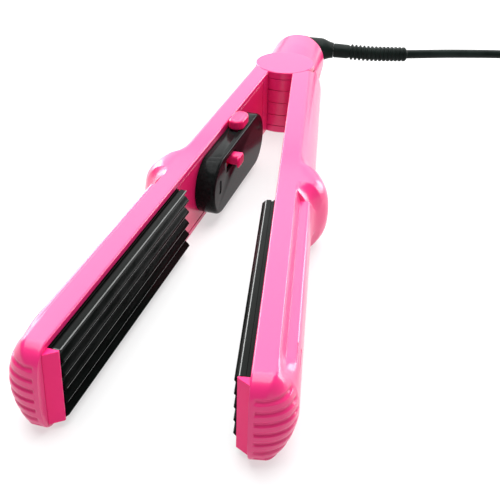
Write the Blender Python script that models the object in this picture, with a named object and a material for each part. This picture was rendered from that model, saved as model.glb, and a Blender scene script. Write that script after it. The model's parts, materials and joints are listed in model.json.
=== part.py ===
"""A hair crimper with two hinged arms, lying on its side with the arms sprung open and its cord coiled
beside it. The hinge axis stands on the origin, along Z, and the arms point along -Y, either side of the
X = 0 plane. Lengths are written in millimetres, and mesh_object and curve_object turn them into metres.

A point of an arm is given by s, its distance from the hinge along the arm, t, its distance outwards from
the plane where the closed arms meet, and z, its height."""

import math

import bmesh
import bpy
from mathutils import Matrix, Vector

MM = 0.001
GAP = 0.3

# Driving dimensions
ARM_WIDTH = 32.8
ARM_REACH = 260.3
OPENING = 12.34
RIM = 4.5
CREASE = 12.3
BACK = 19.3
WALL = 2.4
CAP_R = 15.0
KNUCKLE_CLEAR_R = 15.4
THUMB_REST = 6.3
STEP_AT = 138.3
LEDGE_AT, LEDGE_TALL = 14.3, 11.4

PLATE_START, PLATE_END = 142.3, 251.8
PLATE_LOW, PLATE_HIGH = 2.95, 29.95
RIDGE_PITCH = 5.2
RIDGE_TIP, RIDGE_ROOT = -0.6, 1.6
RIDGE_SHIFT = 1.3

BARREL_END = 50.0
BARREL_R = 14.6
SWIVEL_Y = 69.3

CORD_D = 5.0
COIL_CENTRE = (171.8, 102.2)
COIL_TURN_R = 30.2
COIL_LOW = 1.2
COIL_COLUMNS, COIL_LAYERS = 5, 2
COIL_PITCH = 5.1

MID = ARM_WIDTH / 2

HOUSING_Z = 16.8
HOUSING_R = 12.8
HOUSING_NEAR, HOUSING_FAR = 109.5, 62.8
HOUSING_FRONT, HOUSING_BACK = -4.0, 4.3
HOUSING_WALL = 1.8

# The cord's route from the swivel to the coil, then from the coil to the plug
CORD_ROUTE = [
    (12.0, 69.3, 16.4),
    (22.6, 69.4, 16.4),
    (38.0, 70.2, 16.1),
    (55.0, 75.3, 15.4),
    (62.0, 78.9, 14.8),
    (84.0, 92.8, 12.2),
    (107.0, 108.0, 8.8),
    (118.0, 115.2, 7.0),
    (132.0, 124.4, 5.0),
]
TAIL_ROUTE = [
    (204.3, 70.2, 7.4),
    (201.4, 60.0, 5.8),
    (199.1, 50.0, 5.6),
    (197.3, 41.0, 7.0),
]
GUARD_START, GUARD_END = 5.9, 47.5
PLUG_HEADING = math.radians(-101.0)


# ---------------------------------------------------------------- building blocks


def clear_scene():
    for thing in list(bpy.data.objects):
        bpy.data.objects.remove(thing, do_unlink=True)


def finish(name):
    """(colour, roughness, metallic) of each material used in the model, made once."""
    looks = {
        "pink_gloss": ((0.90, 0.10, 0.38), 0.25, 0.0),
        "pink_deep": ((0.80, 0.04, 0.24), 0.30, 0.0),
        "black_gloss": ((0.012, 0.014, 0.014), 0.15, 0.0),
        "black_coating": ((0.010, 0.011, 0.011), 0.22, 0.0),
        "black_rubber": ((0.015, 0.018, 0.018), 0.50, 0.0),
        "cord_rubber": ((0.014, 0.020, 0.020), 0.45, 0.0),
        "steel": ((0.62, 0.62, 0.63), 0.28, 1.0),
        "ceramic": ((0.86, 0.85, 0.80), 0.55, 0.0),
        "silicone": ((0.72, 0.30, 0.20), 0.60, 0.0),
        "board": ((0.05, 0.22, 0.10), 0.45, 0.0),
        "lens": ((0.75, 0.08, 0.05), 0.10, 0.0),
        "wire": ((0.82, 0.80, 0.74), 0.50, 0.0),
        "brass": ((0.78, 0.60, 0.30), 0.25, 1.0),
    }
    material = bpy.data.materials.get(name)
    if material is None:
        colour, roughness, metallic = looks[name]
        material = bpy.data.materials.new(name)
        material.use_nodes = True
        shader = material.node_tree.nodes["Principled BSDF"]
        shader.inputs["Base Color"].default_value = (*colour, 1.0)
        shader.inputs["Roughness"].default_value = roughness
        shader.inputs["Metallic"].default_value = metallic
        material.diffuse_color = (*colour, 1.0)
    return material


def place(obj, look, parent):
    bpy.context.scene.collection.objects.link(obj)
    if look:
        obj.data.materials.append(finish(look))
    obj.parent = parent
    return obj


def mesh_object(name, points, faces, look=None, parent=None):
    """An object from points in millimetres, with its faces turned outwards and its round sides smooth."""
    shape = bmesh.new()
    corners = [shape.verts.new(Vector(p) * MM) for p in points]
    for face in faces:
        shape.faces.new([corners[i] for i in face])
    bmesh.ops.recalc_face_normals(shape, faces=shape.faces)
    mesh = bpy.data.meshes.new(name)
    shape.to_mesh(mesh)
    shape.free()
    mesh.shade_smooth()
    mesh.set_sharp_from_angle(angle=math.radians(35))
    return place(bpy.data.objects.new(name, mesh), look, parent)


def loft(name, rings, look=None, parent=None, closed=False):
    """A skin over rings of equal length. Its ends are capped unless it closes on itself."""
    count = len(rings[0])
    points = [p for ring in rings for p in ring]
    faces = []
    spans = len(rings) if closed else len(rings) - 1
    for i in range(spans):
        here = i * count
        there = (i + 1) % len(rings) * count
        for j in range(count):
            k = (j + 1) % count
            faces.append((here + j, here + k, there + k, there + j))
    if not closed:
        faces.append(tuple(range(count)))
        faces.append(tuple(range(len(points) - count, len(points))))
    return mesh_object(name, points, faces, look, parent)


def prism(name, outline, low, high, axis, look=None, parent=None):
    """An outline extruded along an axis. The outline's two coordinates are the other axes, in XYZ order."""
    def at(p, level):
        values = list(p)
        values.insert("XYZ".index(axis), level)
        return tuple(values)

    return loft(name, [[at(p, low) for p in outline], [at(p, high) for p in outline]], look, parent)


def lathe(name, profile, axis, centre, look=None, parent=None, steps=24):
    """A profile of (radius, place along the axis) points turned about an axis through centre. Points at
    radius 0 close an end, and a profile with none closes on itself as a ring."""
    first, second, along = {"X": (1, 2, 0), "Y": (0, 2, 1), "Z": (0, 1, 2)}[axis]

    def at(radius, angle, level):
        values = [0.0, 0.0, 0.0]
        values[first] = centre[0] + radius * math.cos(angle)
        values[second] = centre[1] + radius * math.sin(angle)
        values[along] = level
        return tuple(values)

    rings = [
        [at(radius, 2 * math.pi * k / steps, level) for radius, level in profile]
        for k in range(steps)
    ]
    points = []
    index = []
    for k, ring in enumerate(rings):
        row = []
        for (radius, _), p in zip(profile, ring):
            if radius == 0 and k > 0:
                row.append(index[0][len(row)])
            else:
                points.append(p)
                row.append(len(points) - 1)
        index.append(row)
    solid = profile[0][0] == 0
    count = len(profile)
    faces = []
    for k in range(steps):
        row, following = index[k], index[(k + 1) % steps]
        for j in range(count - 1 if solid else count):
            i = (j + 1) % count
            face = [row[j], row[i], following[i], following[j]]
            faces.append(tuple(dict.fromkeys(face)))
    return mesh_object(name, points, faces, look, parent)


def rod(name, axis, centre, radius, low, high, look=None, parent=None, steps=16):
    profile = [(0, low), (radius, low), (radius, high), (0, high)]
    return lathe(name, profile, axis, centre, look, parent, steps)


def block(name, low, high, look=None, parent=None):
    outline = [(low[0], low[1]), (high[0], low[1]), (high[0], high[1]), (low[0], high[1])]
    return prism(name, outline, low[2], high[2], "Z", look, parent)


def combine(target, tool, operation):
    tool.hide_render = True
    tool.display_type = "WIRE"
    step = target.modifiers.new(tool.name, "BOOLEAN")
    step.operation = operation
    step.object = tool
    step.solver = "EXACT"


def cut(target, *tools):
    for tool in tools:
        combine(target, tool, "DIFFERENCE")


def join(target, *tools):
    for tool in tools:
        combine(target, tool, "UNION")


def arc(centre, radius, start, end, steps):
    """Points on an arc, with its angles in degrees."""
    angles = [math.radians(start + (end - start) * k / steps) for k in range(steps + 1)]
    return [(centre[0] + radius * math.cos(a), centre[1] + radius * math.sin(a)) for a in angles]


def mix(a, b, weight):
    return a + (b - a) * weight


def smooth_route(points, step):
    """Points about one step apart on a Catmull-Rom curve through the route's points."""
    route = [Vector(p) for p in points]
    route = [2 * route[0] - route[1], *route, 2 * route[-1] - route[-2]]
    found = []
    for a, b, c, d in zip(route, route[1:], route[2:], route[3:]):
        pieces = max(1, round((c - b).length / step))
        for k in range(pieces):
            u = k / pieces
            found.append(
                0.5 * (2 * b + (c - a) * u + (2 * a - 5 * b + 4 * c - d) * u**2
                       + (3 * b - a - 3 * c + d) * u**3)
            )
    return [*found, route[-2]]


def part_of_route(points, start, end):
    """The stretch of a route between two lengths along it."""
    found = []
    run = 0.0
    for a, b in zip(points, points[1:]):
        length = (b - a).length
        for mark in (start, end):
            if run <= mark < run + length:
                found.append((mark, a.lerp(b, (mark - run) / length)))
        if start < run < end:
            found.append((run, a))
        run += length
    if end >= run:
        found.append((run, points[-1]))
    return [p for _, p in sorted(found, key=lambda item: item[0])]


def tube(name, points, diameter, look, parent=None, resolution=2):
    """A round tube with filled ends along points in millimetres."""
    data = bpy.data.curves.new(name, "CURVE")
    data.dimensions = "3D"
    data.bevel_depth = diameter / 2 * MM
    data.bevel_resolution = resolution
    data.use_fill_caps = True
    line = data.splines.new("POLY")
    line.points.add(len(points) - 1)
    for knot, p in zip(line.points, points):
        knot.co = (*(Vector(p) * MM), 1.0)
    line.use_smooth = True
    return place(bpy.data.objects.new(name, data), look, parent)


# ---------------------------------------------------------------- arms


class Arm:
    """One arm: side is -1 for the left and 1 for the right. Its pieces hang on a pivot at the hinge axis."""

    def __init__(self, name, side):
        self.name = name
        self.side = side
        self.pivot = bpy.data.objects.new(name + "_pivot", None)
        self.pivot.rotation_euler.z = side * math.radians(OPENING / 2)
        bpy.context.scene.collection.objects.link(self.pivot)

    def at(self, s, t, z):
        return (self.side * t, -s, z)

    def named(self, piece):
        return f"{self.name}_{piece}"

    def block(self, piece, s, t, z, look=None):
        low, high = self.at(max(s), min(t), min(z)), self.at(min(s), max(t), max(z))
        x = sorted((low[0], high[0]))
        return block(self.named(piece), (x[0], low[1], low[2]), (x[1], high[1], high[2]), look, self.pivot)

    def rod(self, piece, s, z, radius, t, look=None, steps=12):
        ends = sorted(self.side * value for value in t)
        return rod(self.named(piece), "X", (-s, z), radius, *ends, look, self.pivot, steps)

    def slab(self, piece, outline, t, look=None):
        """An outline of (s, z) points extruded across the arm."""
        flipped = [(-s, z) for s, z in outline]
        ends = sorted(self.side * value for value in t)
        return prism(self.named(piece), flipped, *ends, "X", look, self.pivot)


def mirrored(half):
    """A whole section from its upper half, which runs from the rim to the middle of the back."""
    return [*half, *[(t, ARM_WIDTH - z) for t, z in reversed(half[:-1])]]


def handle_height(t, rise):
    """Half height of the handle's section at t: a flat side, a crease and a round back that rises into
    the thumb rest. The plain back is an arc, and the risen one is nearer to an ellipse."""
    if t <= CREASE:
        return MID
    radius = (MID**2 + (BACK - CREASE) ** 2) / (2 * (BACK - CREASE))
    widest = math.asin(MID / radius)
    out = min(1.0, (t - CREASE) / (BACK - CREASE + rise))
    plain = math.sin(math.acos(mix(math.cos(widest), 1.0, out))) / math.sin(widest)
    return MID * mix(plain, (1 - out**2.5) ** (1 / 2.5), min(1.0, 1.6 * rise / THUMB_REST))


def forearm_height(t, rise):
    """Half height of the section around the plates: a step down from the flat side to a ledge."""
    if t <= LEDGE_AT:
        return mix(MID, LEDGE_TALL, max(0.0, (t - CREASE - 0.2) / (LEDGE_AT - CREASE - 0.2)) ** 3)
    out = min(1.0, (t - LEDGE_AT) / (BACK + rise - LEDGE_AT))
    return LEDGE_TALL * math.sqrt(1 - out**6)


def thumb_rise(s):
    """How far the thumb rest stands out from the back at mid height."""
    offset = (s - 124.5) / (20.5 if s < 124.5 else 14.0)
    return THUMB_REST * (0.5 + 0.5 * math.cos(math.pi * min(1.0, abs(offset))))


def arm_half(s):
    """Upper half of the section at s. The handle's form ends at a step that sweeps back as it goes
    outwards, under the thumb rest's wing, and comes back smoothly at the tip."""
    rise = thumb_rise(s)
    places = [RIM, CREASE - 0.9, CREASE + 0.3, LEDGE_AT - 0.5, LEDGE_AT]
    places += [LEDGE_AT + (BACK + rise - LEDGE_AT) * math.sin(math.pi * k / 12) for k in range(1, 7)]
    half = []
    for t in places:
        step = STEP_AT - 0.11 * max(0.0, t - LEDGE_AT) ** 2
        forearm = min(1.0, max(0.0, s - step + 0.5))
        if s > 237.0:
            forearm = max(0.0, (252.0 - s) / 15.0)
        half.append((t, MID + mix(handle_height(t, rise), forearm_height(t, rise), forearm)))
    return half


def nose_half(s, shallower, tall):
    """Upper half of a section of the rounded tip."""
    depth = (BACK - RIM - shallower) / (BACK - RIM)
    return [(RIM + (t - RIM) * depth, MID + (z - MID) * tall / MID) for t, z in arm_half(s)]


def shell_sections():
    """(place, section) pairs from behind the hinge to the tip. A negative place is an angle in degrees
    about the hinge, where the back of the arm wraps round the knuckle."""
    found = [(-angle, arm_half(0.0)) for angle in (49.1, 37.0, 25.0, 12.0)]
    for s in (0.0, 50.0, 103.0, 107.0, 111.0, 115.0, 119.0, 122.0, 125.0, 128.0, 131.0, 134.0, 136.5,
              STEP_AT - 0.5, STEP_AT + 0.5, 140.0, 195.0, 237.0, 246.0):
        found.append((s, arm_half(s)))
    stages = [
        (249.0, 0.0, 16.4),
        (252.0, 0.6, 16.4),
        (254.0, 1.3, 16.1),
        (256.0, 2.5, 15.1),
        (257.6, 4.1, 13.6),
        (258.8, 6.0, 11.5),
        (259.6, 8.0, 8.9),
        (260.1, 10.4, 5.5),
        (ARM_REACH, 13.0, 2.2),
    ]
    found += [(s, nose_half(s, shallower, tall)) for s, shallower, tall in stages]
    return [(where, mirrored(half)) for where, half in found]


def outer_shell(arm, knuckle):
    """The back of the arm, hollow from the knuckle to the tip, with a lug that takes the hinge bolt."""
    rings = []
    for where, section in shell_sections():
        if where < 0:
            turn = math.radians(-where)
            ring = [arm.at(-t * math.sin(turn), t * math.cos(turn), z) for t, z in section]
        else:
            ring = [arm.at(where, t, z) for t, z in section]
        rings.append(ring)
    shell = loft(arm.named("outer_shell"), rings, "pink_gloss", arm.pivot)

    inside = [
        (-2.0, WALL),
        (CREASE - 0.3, WALL),
        (BACK - 2.3, 9.0),
        (BACK - 2.3, ARM_WIDTH - 9.0),
        (CREASE - 0.3, ARM_WIDTH - WALL),
        (-2.0, ARM_WIDTH - WALL),
    ]
    depths = [(23.0, 1.0, 1.0), (249.0, 1.0, 1.0), (253.5, 0.85, 1.0), (256.4, 0.74, 0.992)]
    hollow = []
    for s, depth, tall in depths:
        hollow.append([arm.at(s, -2.0 + (t + 2.0) * depth, MID + (z - MID) * tall) for t, z in inside])
    cavity = loft(arm.named("cavity_cutter"), hollow, None, arm.pivot)
    clearance = rod(arm.named("knuckle_cutter"), "Z", (0, 0), KNUCKLE_CLEAR_R, -1, ARM_WIDTH + 1,
                    None, arm.pivot, 48)
    cut(shell, clearance, cavity)

    low, high = knuckle
    outline = arc((0, 0), CAP_R, 70, 350, 28)
    outline += [(17.0, -2.6), (17.0, 21.0), (CAP_R * math.cos(math.radians(70)), 21.0)]
    placed = [(arm.side * t, -s) for t, s in outline]
    lug = prism(arm.named("knuckle_lug"), placed, low, high, "Z", None, arm.pivot)
    join(shell, lug)
    bore = rod(arm.named("bolt_hole_cutter"), "Z", (0, 0), 2.75, -1, ARM_WIDTH + 1, None, arm.pivot)
    pocket = rod(arm.named("spring_pocket_cutter"), "Z", (0, 0), 8.2, 11.9, 20.9, None, arm.pivot, 24)
    cut(shell, bore, pocket)
    return shell


def screw_post(arm, shell, label, s, z, face):
    """A post inside the shell, drilled for a screw that comes from the closing side."""
    join(shell, arm.rod(label + "_post", s, z, 2.6, (face + GAP, BACK - 1.8)))
    cut(shell, arm.rod(label + "_drill", s, z, 1.25, (face - 1, BACK - 3.6)))


def screw(arm, label, s, z, head, tip):
    """A pan-head screw with its head towards the closing plane."""
    seat = head + 1.2
    profile = [(0, head), (1.5, head), (2.3, head + 0.5), (2.3, seat)]
    profile += [(1.0, seat), (1.0, tip - 0.6), (0, tip)]
    placed = [(radius, arm.side * t) for radius, t in profile]
    lathe(arm.named(label), placed, "X", (-s, z), "steel", arm.pivot, 10)


def inner_cover(arm):
    """The handle's flat inner skin, from the knuckle to the plate frame."""
    return arm.block("inner_cover", (23.3, PLATE_START - 3.3), (RIM + 0.1, RIM + 2.3),
                     (WALL + GAP, ARM_WIDTH - WALL - GAP), "pink_deep")


def screw_hole(arm, cover, label, s, z):
    seat = arm.rod(label + "_seat_cutter", s, z, 2.7, (RIM - 1, RIM + 1.6))
    through = arm.rod(label + "_hole_cutter", s, z, 1.35, (RIM - 1, RIM + 4))
    cut(cover, seat, through)


def plate_frame(arm):
    """The heat-resistant carrier of the plate: a floor, a block at its hinge end and a slanted one at
    the tip."""
    wide = (WALL + GAP, ARM_WIDTH - WALL - GAP)
    start, end = PLATE_START - 3.0, PLATE_END + GAP
    outline = [(end, 8.0), (end, 0.5), (end + 0.6, 0.5), (256.1, RIM), (256.1, 8.0)]
    placed = [(arm.side * t, -s) for s, t in outline]
    frame = prism(arm.named("plate_frame"), placed, *wide, "Z", "pink_deep", arm.pivot)
    hinge_end = arm.block("hinge_end", (start, PLATE_START - GAP), (RIM + 0.1, 11.9), wide)
    floor = arm.block("frame_floor", (start + 0.1, 248.5), (11.5, 12.9), (MID - 12.0, MID + 12.0))
    narrow = arm.block("frame_neck", (247.0, 254.6), (11.5, 12.4), (MID - 8.4, MID + 8.4))
    link = arm.block("frame_link", (end, 254.5), (7.0, 12.3), (MID - 8.3, MID + 8.3))
    join(frame, link, narrow, floor, hinge_end)
    notch = arm.block("lead_notch_cutter", (start - 1, PLATE_START + 1), (8.0, 11.6), (MID - 3, MID + 3))
    cut(frame, notch, arm.rod("frame_screw_cutter", 146.6, 8.0, 1.4, (10.5, 14.0)))
    return frame


def ridge_depth(arm, z):
    """t of the crimping face at height z. The two plates are one part turned over, so that each one's
    ridges face the other's grooves."""
    phase = (z - (MID + arm.side * RIDGE_SHIFT)) / RIDGE_PITCH
    away = abs(phase - round(phase)) * 2
    flat = 0.1
    weight = min(1.0, max(0.0, (away - flat) / (1 - 2 * flat)))
    return mix(RIDGE_TIP, RIDGE_ROOT, weight)


def crimp_plate(arm):
    """The heated plate: lengthwise ridges on its face and a groove along each side."""
    turns = []
    for k in range(-3, 4):
        crest = MID + arm.side * RIDGE_SHIFT + k * RIDGE_PITCH
        for offset in (-0.45, -0.05, 0.05, 0.45):
            turns.append(crest + offset * RIDGE_PITCH)
    inside = sorted(z for z in turns if PLATE_LOW + 0.1 < z < PLATE_HIGH - 0.1)
    face = [(ridge_depth(arm, z), z) for z in [PLATE_LOW, *inside, PLATE_HIGH]]
    top_groove = [(2.3, PLATE_HIGH), (2.55, PLATE_HIGH - 0.5), (2.8, PLATE_HIGH)]
    low_groove = [(t, ARM_WIDTH + 0.1 - z) for t, z in reversed(top_groove)]
    section = [*face, *top_groove, (6.0, PLATE_HIGH), (6.0, PLATE_LOW), *low_groove]
    rings = [[arm.at(s, t, z) for t, z in section] for s in (PLATE_START, PLATE_END)]
    loft(arm.named("crimp_plate"), rings, "black_coating", arm.pivot)


def heating_parts(arm):
    """What sits behind the plate: the ceramic heater, its spring clamp and the pads under the clamp."""
    arm.block("heater", (150, 244), (6.3, 8.3), (9.4, 23.4), "ceramic")
    outline = [
        (6.3, 7.2), (6.3, 8.2), (8.6, 8.2), (8.6, 24.6), (6.3, 24.6),
        (6.3, 25.6), (9.4, 25.6), (9.4, 7.2),
    ]
    rings = [[arm.at(s, t, z) for t, z in outline] for s in (156, 238)]
    loft(arm.named("heater_clamp"), rings, "steel", arm.pivot)
    for number, s in ((1, 168), (2, 218)):
        arm.block(f"plate_pad_{number}", (s, s + 12), (9.7, 11.2), (9.4, 23.4), "silicone")
    route = [(28, 12.0, 24.0), (60, 12.3, 24.0), (100, 12.2, 24.0), (122, 11.4, 22.0), (134, 10.2, 17.6),
             (141, 9.8, 16.4), (146, 8.8, 16.4), (149.4, 7.4, 16.4)]
    points = smooth_route([arm.at(*p) for p in route], 6)
    tube(arm.named("heater_leads"), points, 2.6, "wire", arm.pivot, 1)


def make_arm(name, side, knuckle):
    arm = Arm(name, side)
    shell = outer_shell(arm, knuckle)
    cover = inner_cover(arm)
    screws = {"cover_screw_1": 33.0} if side < 0 else {"cover_screw_1": 33.0, "cover_screw_2": 126.0}
    for label, s in screws.items():
        screw_post(arm, shell, label, s, 10.5, RIM + 2.3)
        screw_hole(arm, cover, label, s, 10.5)
        screw(arm, label, s, 10.5, RIM + 0.2, 12.6)
    plate_frame(arm)
    screw_post(arm, shell, "frame_screw", 146.6, 8.0, 13.0)
    screw(arm, "frame_screw", 146.6, 8.0, 10.0, 15.2)
    crimp_plate(arm)
    heating_parts(arm)
    return arm, cover


# ---------------------------------------------------------------- controls on the left arm


def stadium(inset, steps=10):
    """The control housing's outline as (s, z) points: straight sides and round ends."""
    radius = HOUSING_R - inset
    near = arc((HOUSING_NEAR, HOUSING_Z), radius, -90, 90, steps)
    far = arc((HOUSING_FAR, HOUSING_Z), radius, 90, 270, steps)
    return near + far


def control_housing(arm):
    layers = [(HOUSING_BACK, 0.0), (HOUSING_FRONT + 1.1, 0.0)]
    layers += [(HOUSING_FRONT + 0.35, 0.35), (HOUSING_FRONT, 1.1)]
    rings = [[arm.at(s, t, z) for s, z in stadium(inset)] for t, inset in layers]
    housing = loft("control_housing", rings, "black_gloss", arm.pivot)
    inside = (HOUSING_FRONT + HOUSING_WALL, HOUSING_BACK + 1)
    cut(housing, arm.slab("housing_cavity", stadium(HOUSING_WALL), inside))
    for number, (s, z) in enumerate(((58.0, 16.8), (106.0, 8.4)), 1):
        join(housing, arm.rod(f"housing_boss_{number}", s, z, 2.4, (HOUSING_FRONT + 1.0, HOUSING_BACK)))
        cut(housing, arm.rod(f"housing_drill_{number}", s, z, 1.25, (-0.9, HOUSING_BACK + 1)))
    top_slot = arm.block("knob_slot", (72.6, 83.0), (-1.3, 2.3), (25, 32))
    front_slot = arm.block("lock_slot", (93.4, 106.2), (-5, -1.5), (20.7, 26.9))
    window = arm.slab("lens_hole", window_outline(0.3), (-5, -1.5))
    cut(housing, top_slot, front_slot, window)


def window_outline(spare):
    """The upright indicator window as (s, z) points, larger by a spare width."""
    bar = rounded_bar(6.0 + 2 * spare, 2.6 + 2 * spare)
    return [(114.0 + across, 17.8 + up) for up, across in bar]


def rounded_bar(length, width, steps=6):
    """A bar with round ends, centred on the origin."""
    radius = width / 2
    straight = length / 2 - radius
    return arc((straight, 0), radius, -90, 90, steps) + arc((-straight, 0), radius, 90, 270, steps)


def power_knob(arm):
    """The sliding power knob, with a stem that reaches into the switch."""
    middle, across = 75.5, 0.5
    layers = [(29.9, 0.4), (30.5, 0.0), (33.2, 0.0), (34.0, 0.8)]
    rings = []
    for z, inset in layers:
        bar = rounded_bar(13.0 - 2 * inset, 7.0 - 2 * inset)
        rings.append([arm.at(middle + s, across + t, z) for s, t in bar])
    knob = loft("power_knob", rings, "pink_gloss", arm.pivot)
    join(knob, arm.block("power_knob_stem", (middle - 2.2, middle + 2.2), (-1.0, 2.0), (24.4, 31)))


def lock_slider(arm):
    """The plate lock: a peg that reaches into the other arm and hooks behind its cover."""
    slider = arm.block("lock_slider_base", (91, 107), (-1.9, -0.7), (20.4, 27.2))
    slider.name = "lock_slider"
    slider.data.materials.append(finish("pink_gloss"))
    peg = arm.block("lock_peg", (94, 99.5), (-8.2, -1.0), (21.3, 26.3))
    hook = arm.block("lock_hook", (98, 101.0), (-8.2, -7.2), (21.3, 26.3))
    join(slider, peg, hook)


def control_parts(arm, cover):
    control_housing(arm)
    power_knob(arm)
    lock_slider(arm)
    body = arm.block("power_switch", (68.5, 87.5), (-1.8, 3.6), (13.4, 24.1), "black_gloss")
    body.name = "power_switch"
    board = arm.block("indicator_board", (92, 116), (1.5, 3.0), (11.4, 24), "board")
    board.name = "indicator_board"
    lamp = arm.rod("indicator_lamp", 114.0, 17.8, 1.3, (-1.6, 1.2), "wire")
    lamp.name = "indicator_lamp"
    lens = arm.slab("indicator_lens", window_outline(0.0), (-4.0, -1.9), "lens")
    lens.name = "indicator_lens"
    for number, (s, z) in enumerate(((58.0, 16.8), (106.0, 8.4)), 1):
        cut(cover, arm.rod(f"housing_screw_clearance_{number}", s, z, 1.5, (RIM - 1, RIM + 4)))
        head, tip = RIM + 4.0, 0.0
        profile = [(0, tip), (1.0, tip + 0.6), (1.0, head - 1.3), (2.3, head - 1.3)]
        profile += [(2.3, head - 0.4), (1.5, head), (0, head)]
        placed = [(radius, arm.side * t) for radius, t in profile]
        lathe(f"housing_screw_{number}", placed, "X", (-s, z), "steel", arm.pivot, 10)
    cut(cover, arm.rod("switch_lead_clearance", 90.0, 14.0, 2.2, (RIM - 1, RIM + 4)))
    route = [(88.2, 3.0, 14.6), (89.6, 4.6, 14.0), (90.0, 6.6, 14.0)]
    route += [(87.0, 9.4, 14.0), (78.0, 11.2, 14.0), (62.0, 11.6, 14.0)]
    points = smooth_route([arm.at(*p) for p in route], 2.5)
    tube("switch_leads", points, 1.6, "wire", arm.pivot, 1)
    fuse = rod("thermal_fuse", "Y", (arm.side * 8.6, 5.1), 1.7, -208, -190, "steel", arm.pivot, 12)
    return fuse


def catch_parts(arm, cover):
    """The right arm's slot for the lock peg, the strip that it hooks behind, and the plate's sensor."""
    slot = arm.block("peg_slot_cutter", (92.8, 104.6), (RIM - 1, RIM + 4), (20.5, 27.1))
    recess = arm.block("catch_recess_cutter", (104.5, 112), (RIM + 1.1, RIM + 4), (19.0, 28.6))
    cut(cover, slot, recess)
    strip = arm.block("catch", (105.0, 111.7), (RIM + 1.4, RIM + 2.4), (19.3, 28.3), "steel")
    strip.name = "lock_catch"
    rod("plate_sensor", "Y", (arm.side * 8.6, 5.1), 1.4, -204, -196, "ceramic", arm.pivot, 12)


# ---------------------------------------------------------------- tail and hinge


def tail_half(name, upper):
    """Half of the tail barrel, with a neck that reaches in between the arms to a cheek on the hinge."""
    sign = 1 if upper else -1
    split = MID + sign * GAP / 2
    profile = [(0, 10), (15.0, 10), (15.0, 30), (BARREL_R, BARREL_END - 0.8)]
    profile += [(BARREL_R - 0.8, BARREL_END), (0, BARREL_END)]
    shell = lathe(name, profile, "Y", (0, MID), "pink_gloss", None, 40)
    beyond = (-20, -20, MID - 20) if upper else (-20, -20, split)
    limit = (20, BARREL_END + 5, split) if upper else (20, BARREL_END + 5, MID + 20)
    cut(shell, block(name + "_half_cutter", beyond, limit))
    for side in (-1, 1):
        edge = [(side * x, y) for x, y in [(0.0, 0.0), *arc((0, 0), 19.75, -20, 56.5, 14)]]
        label = "left" if side < 0 else "right"
        cut(shell, prism(f"{name}_arm_cutter_{label}", edge, -2, ARM_WIDTH + 2, "Z"))
    cut(shell, rod(name + "_knuckle_cutter", "Z", (0, 0), KNUCKLE_CLEAR_R, -2, ARM_WIDTH + 2, steps=48))
    hollow = [(0, 23), (11.5, 23), (11.5, 46), (8.4, 46), (8.4, BARREL_END + 2), (0, BARREL_END + 2)]
    cut(shell, lathe(name + "_hollow_cutter", hollow, "Y", (0, MID), steps=28))
    levels = (23.2, 28.9) if upper else (3.9, 9.6)
    round_part = arc((0, 0), CAP_R, 120, 420, 30)
    cheek = round_part + [(6.2, 20.5), (-6.2, 20.5)]
    join(shell, prism(name + "_cheek", cheek, *levels, "Z"))
    cut(shell, rod(name + "_bolt_cutter", "Z", (0, 0), 2.9, -2, ARM_WIDTH + 2))
    return shell


def hinge_parts():
    """Bolt, nut, spring and the round caps that hide them."""
    bolt = [(0, 1.4), (2.3, 1.4), (2.5, 1.8), (2.5, 29.3), (5.2, 29.3), (5.2, 30.6), (4.4, 31.2), (0, 31.2)]
    lathe("hinge_bolt", bolt, "Z", (0, 0), "steel", steps=20)
    hexagon = [(5.4 * math.cos(math.radians(a)), 5.4 * math.sin(math.radians(a))) for a in range(0, 360, 60)]
    nut = prism("hinge_nut", hexagon, 1.5, 3.6, "Z", "steel")
    cut(nut, rod("nut_thread_cutter", "Z", (0, 0), 2.8, 0, 6))
    top = [(0, 31.5), (6.4, 31.5), (6.4, 29.2), (CAP_R, 29.2), (CAP_R, 32.2)]
    top += [(CAP_R - 0.6, ARM_WIDTH), (0, ARM_WIDTH)]
    lathe("hinge_cap_top", top, "Z", (0, 0), "pink_gloss", steps=40)
    low = [(radius, ARM_WIDTH - z) for radius, z in top]
    lathe("hinge_cap_bottom", low, "Z", (0, 0), "pink_gloss", steps=40)
    turns, pitch, radius = 5, 1.5, 6.2
    steps = turns * 14
    coil = []
    for k in range(steps + 1):
        angle = 2 * math.pi * turns * k / steps
        height = MID - turns * pitch / 2 + pitch * k / 14
        coil.append((radius * math.cos(angle), radius * math.sin(angle), height))
    tube("opening_spring", coil, 1.1, "steel", None, 1)


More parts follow.
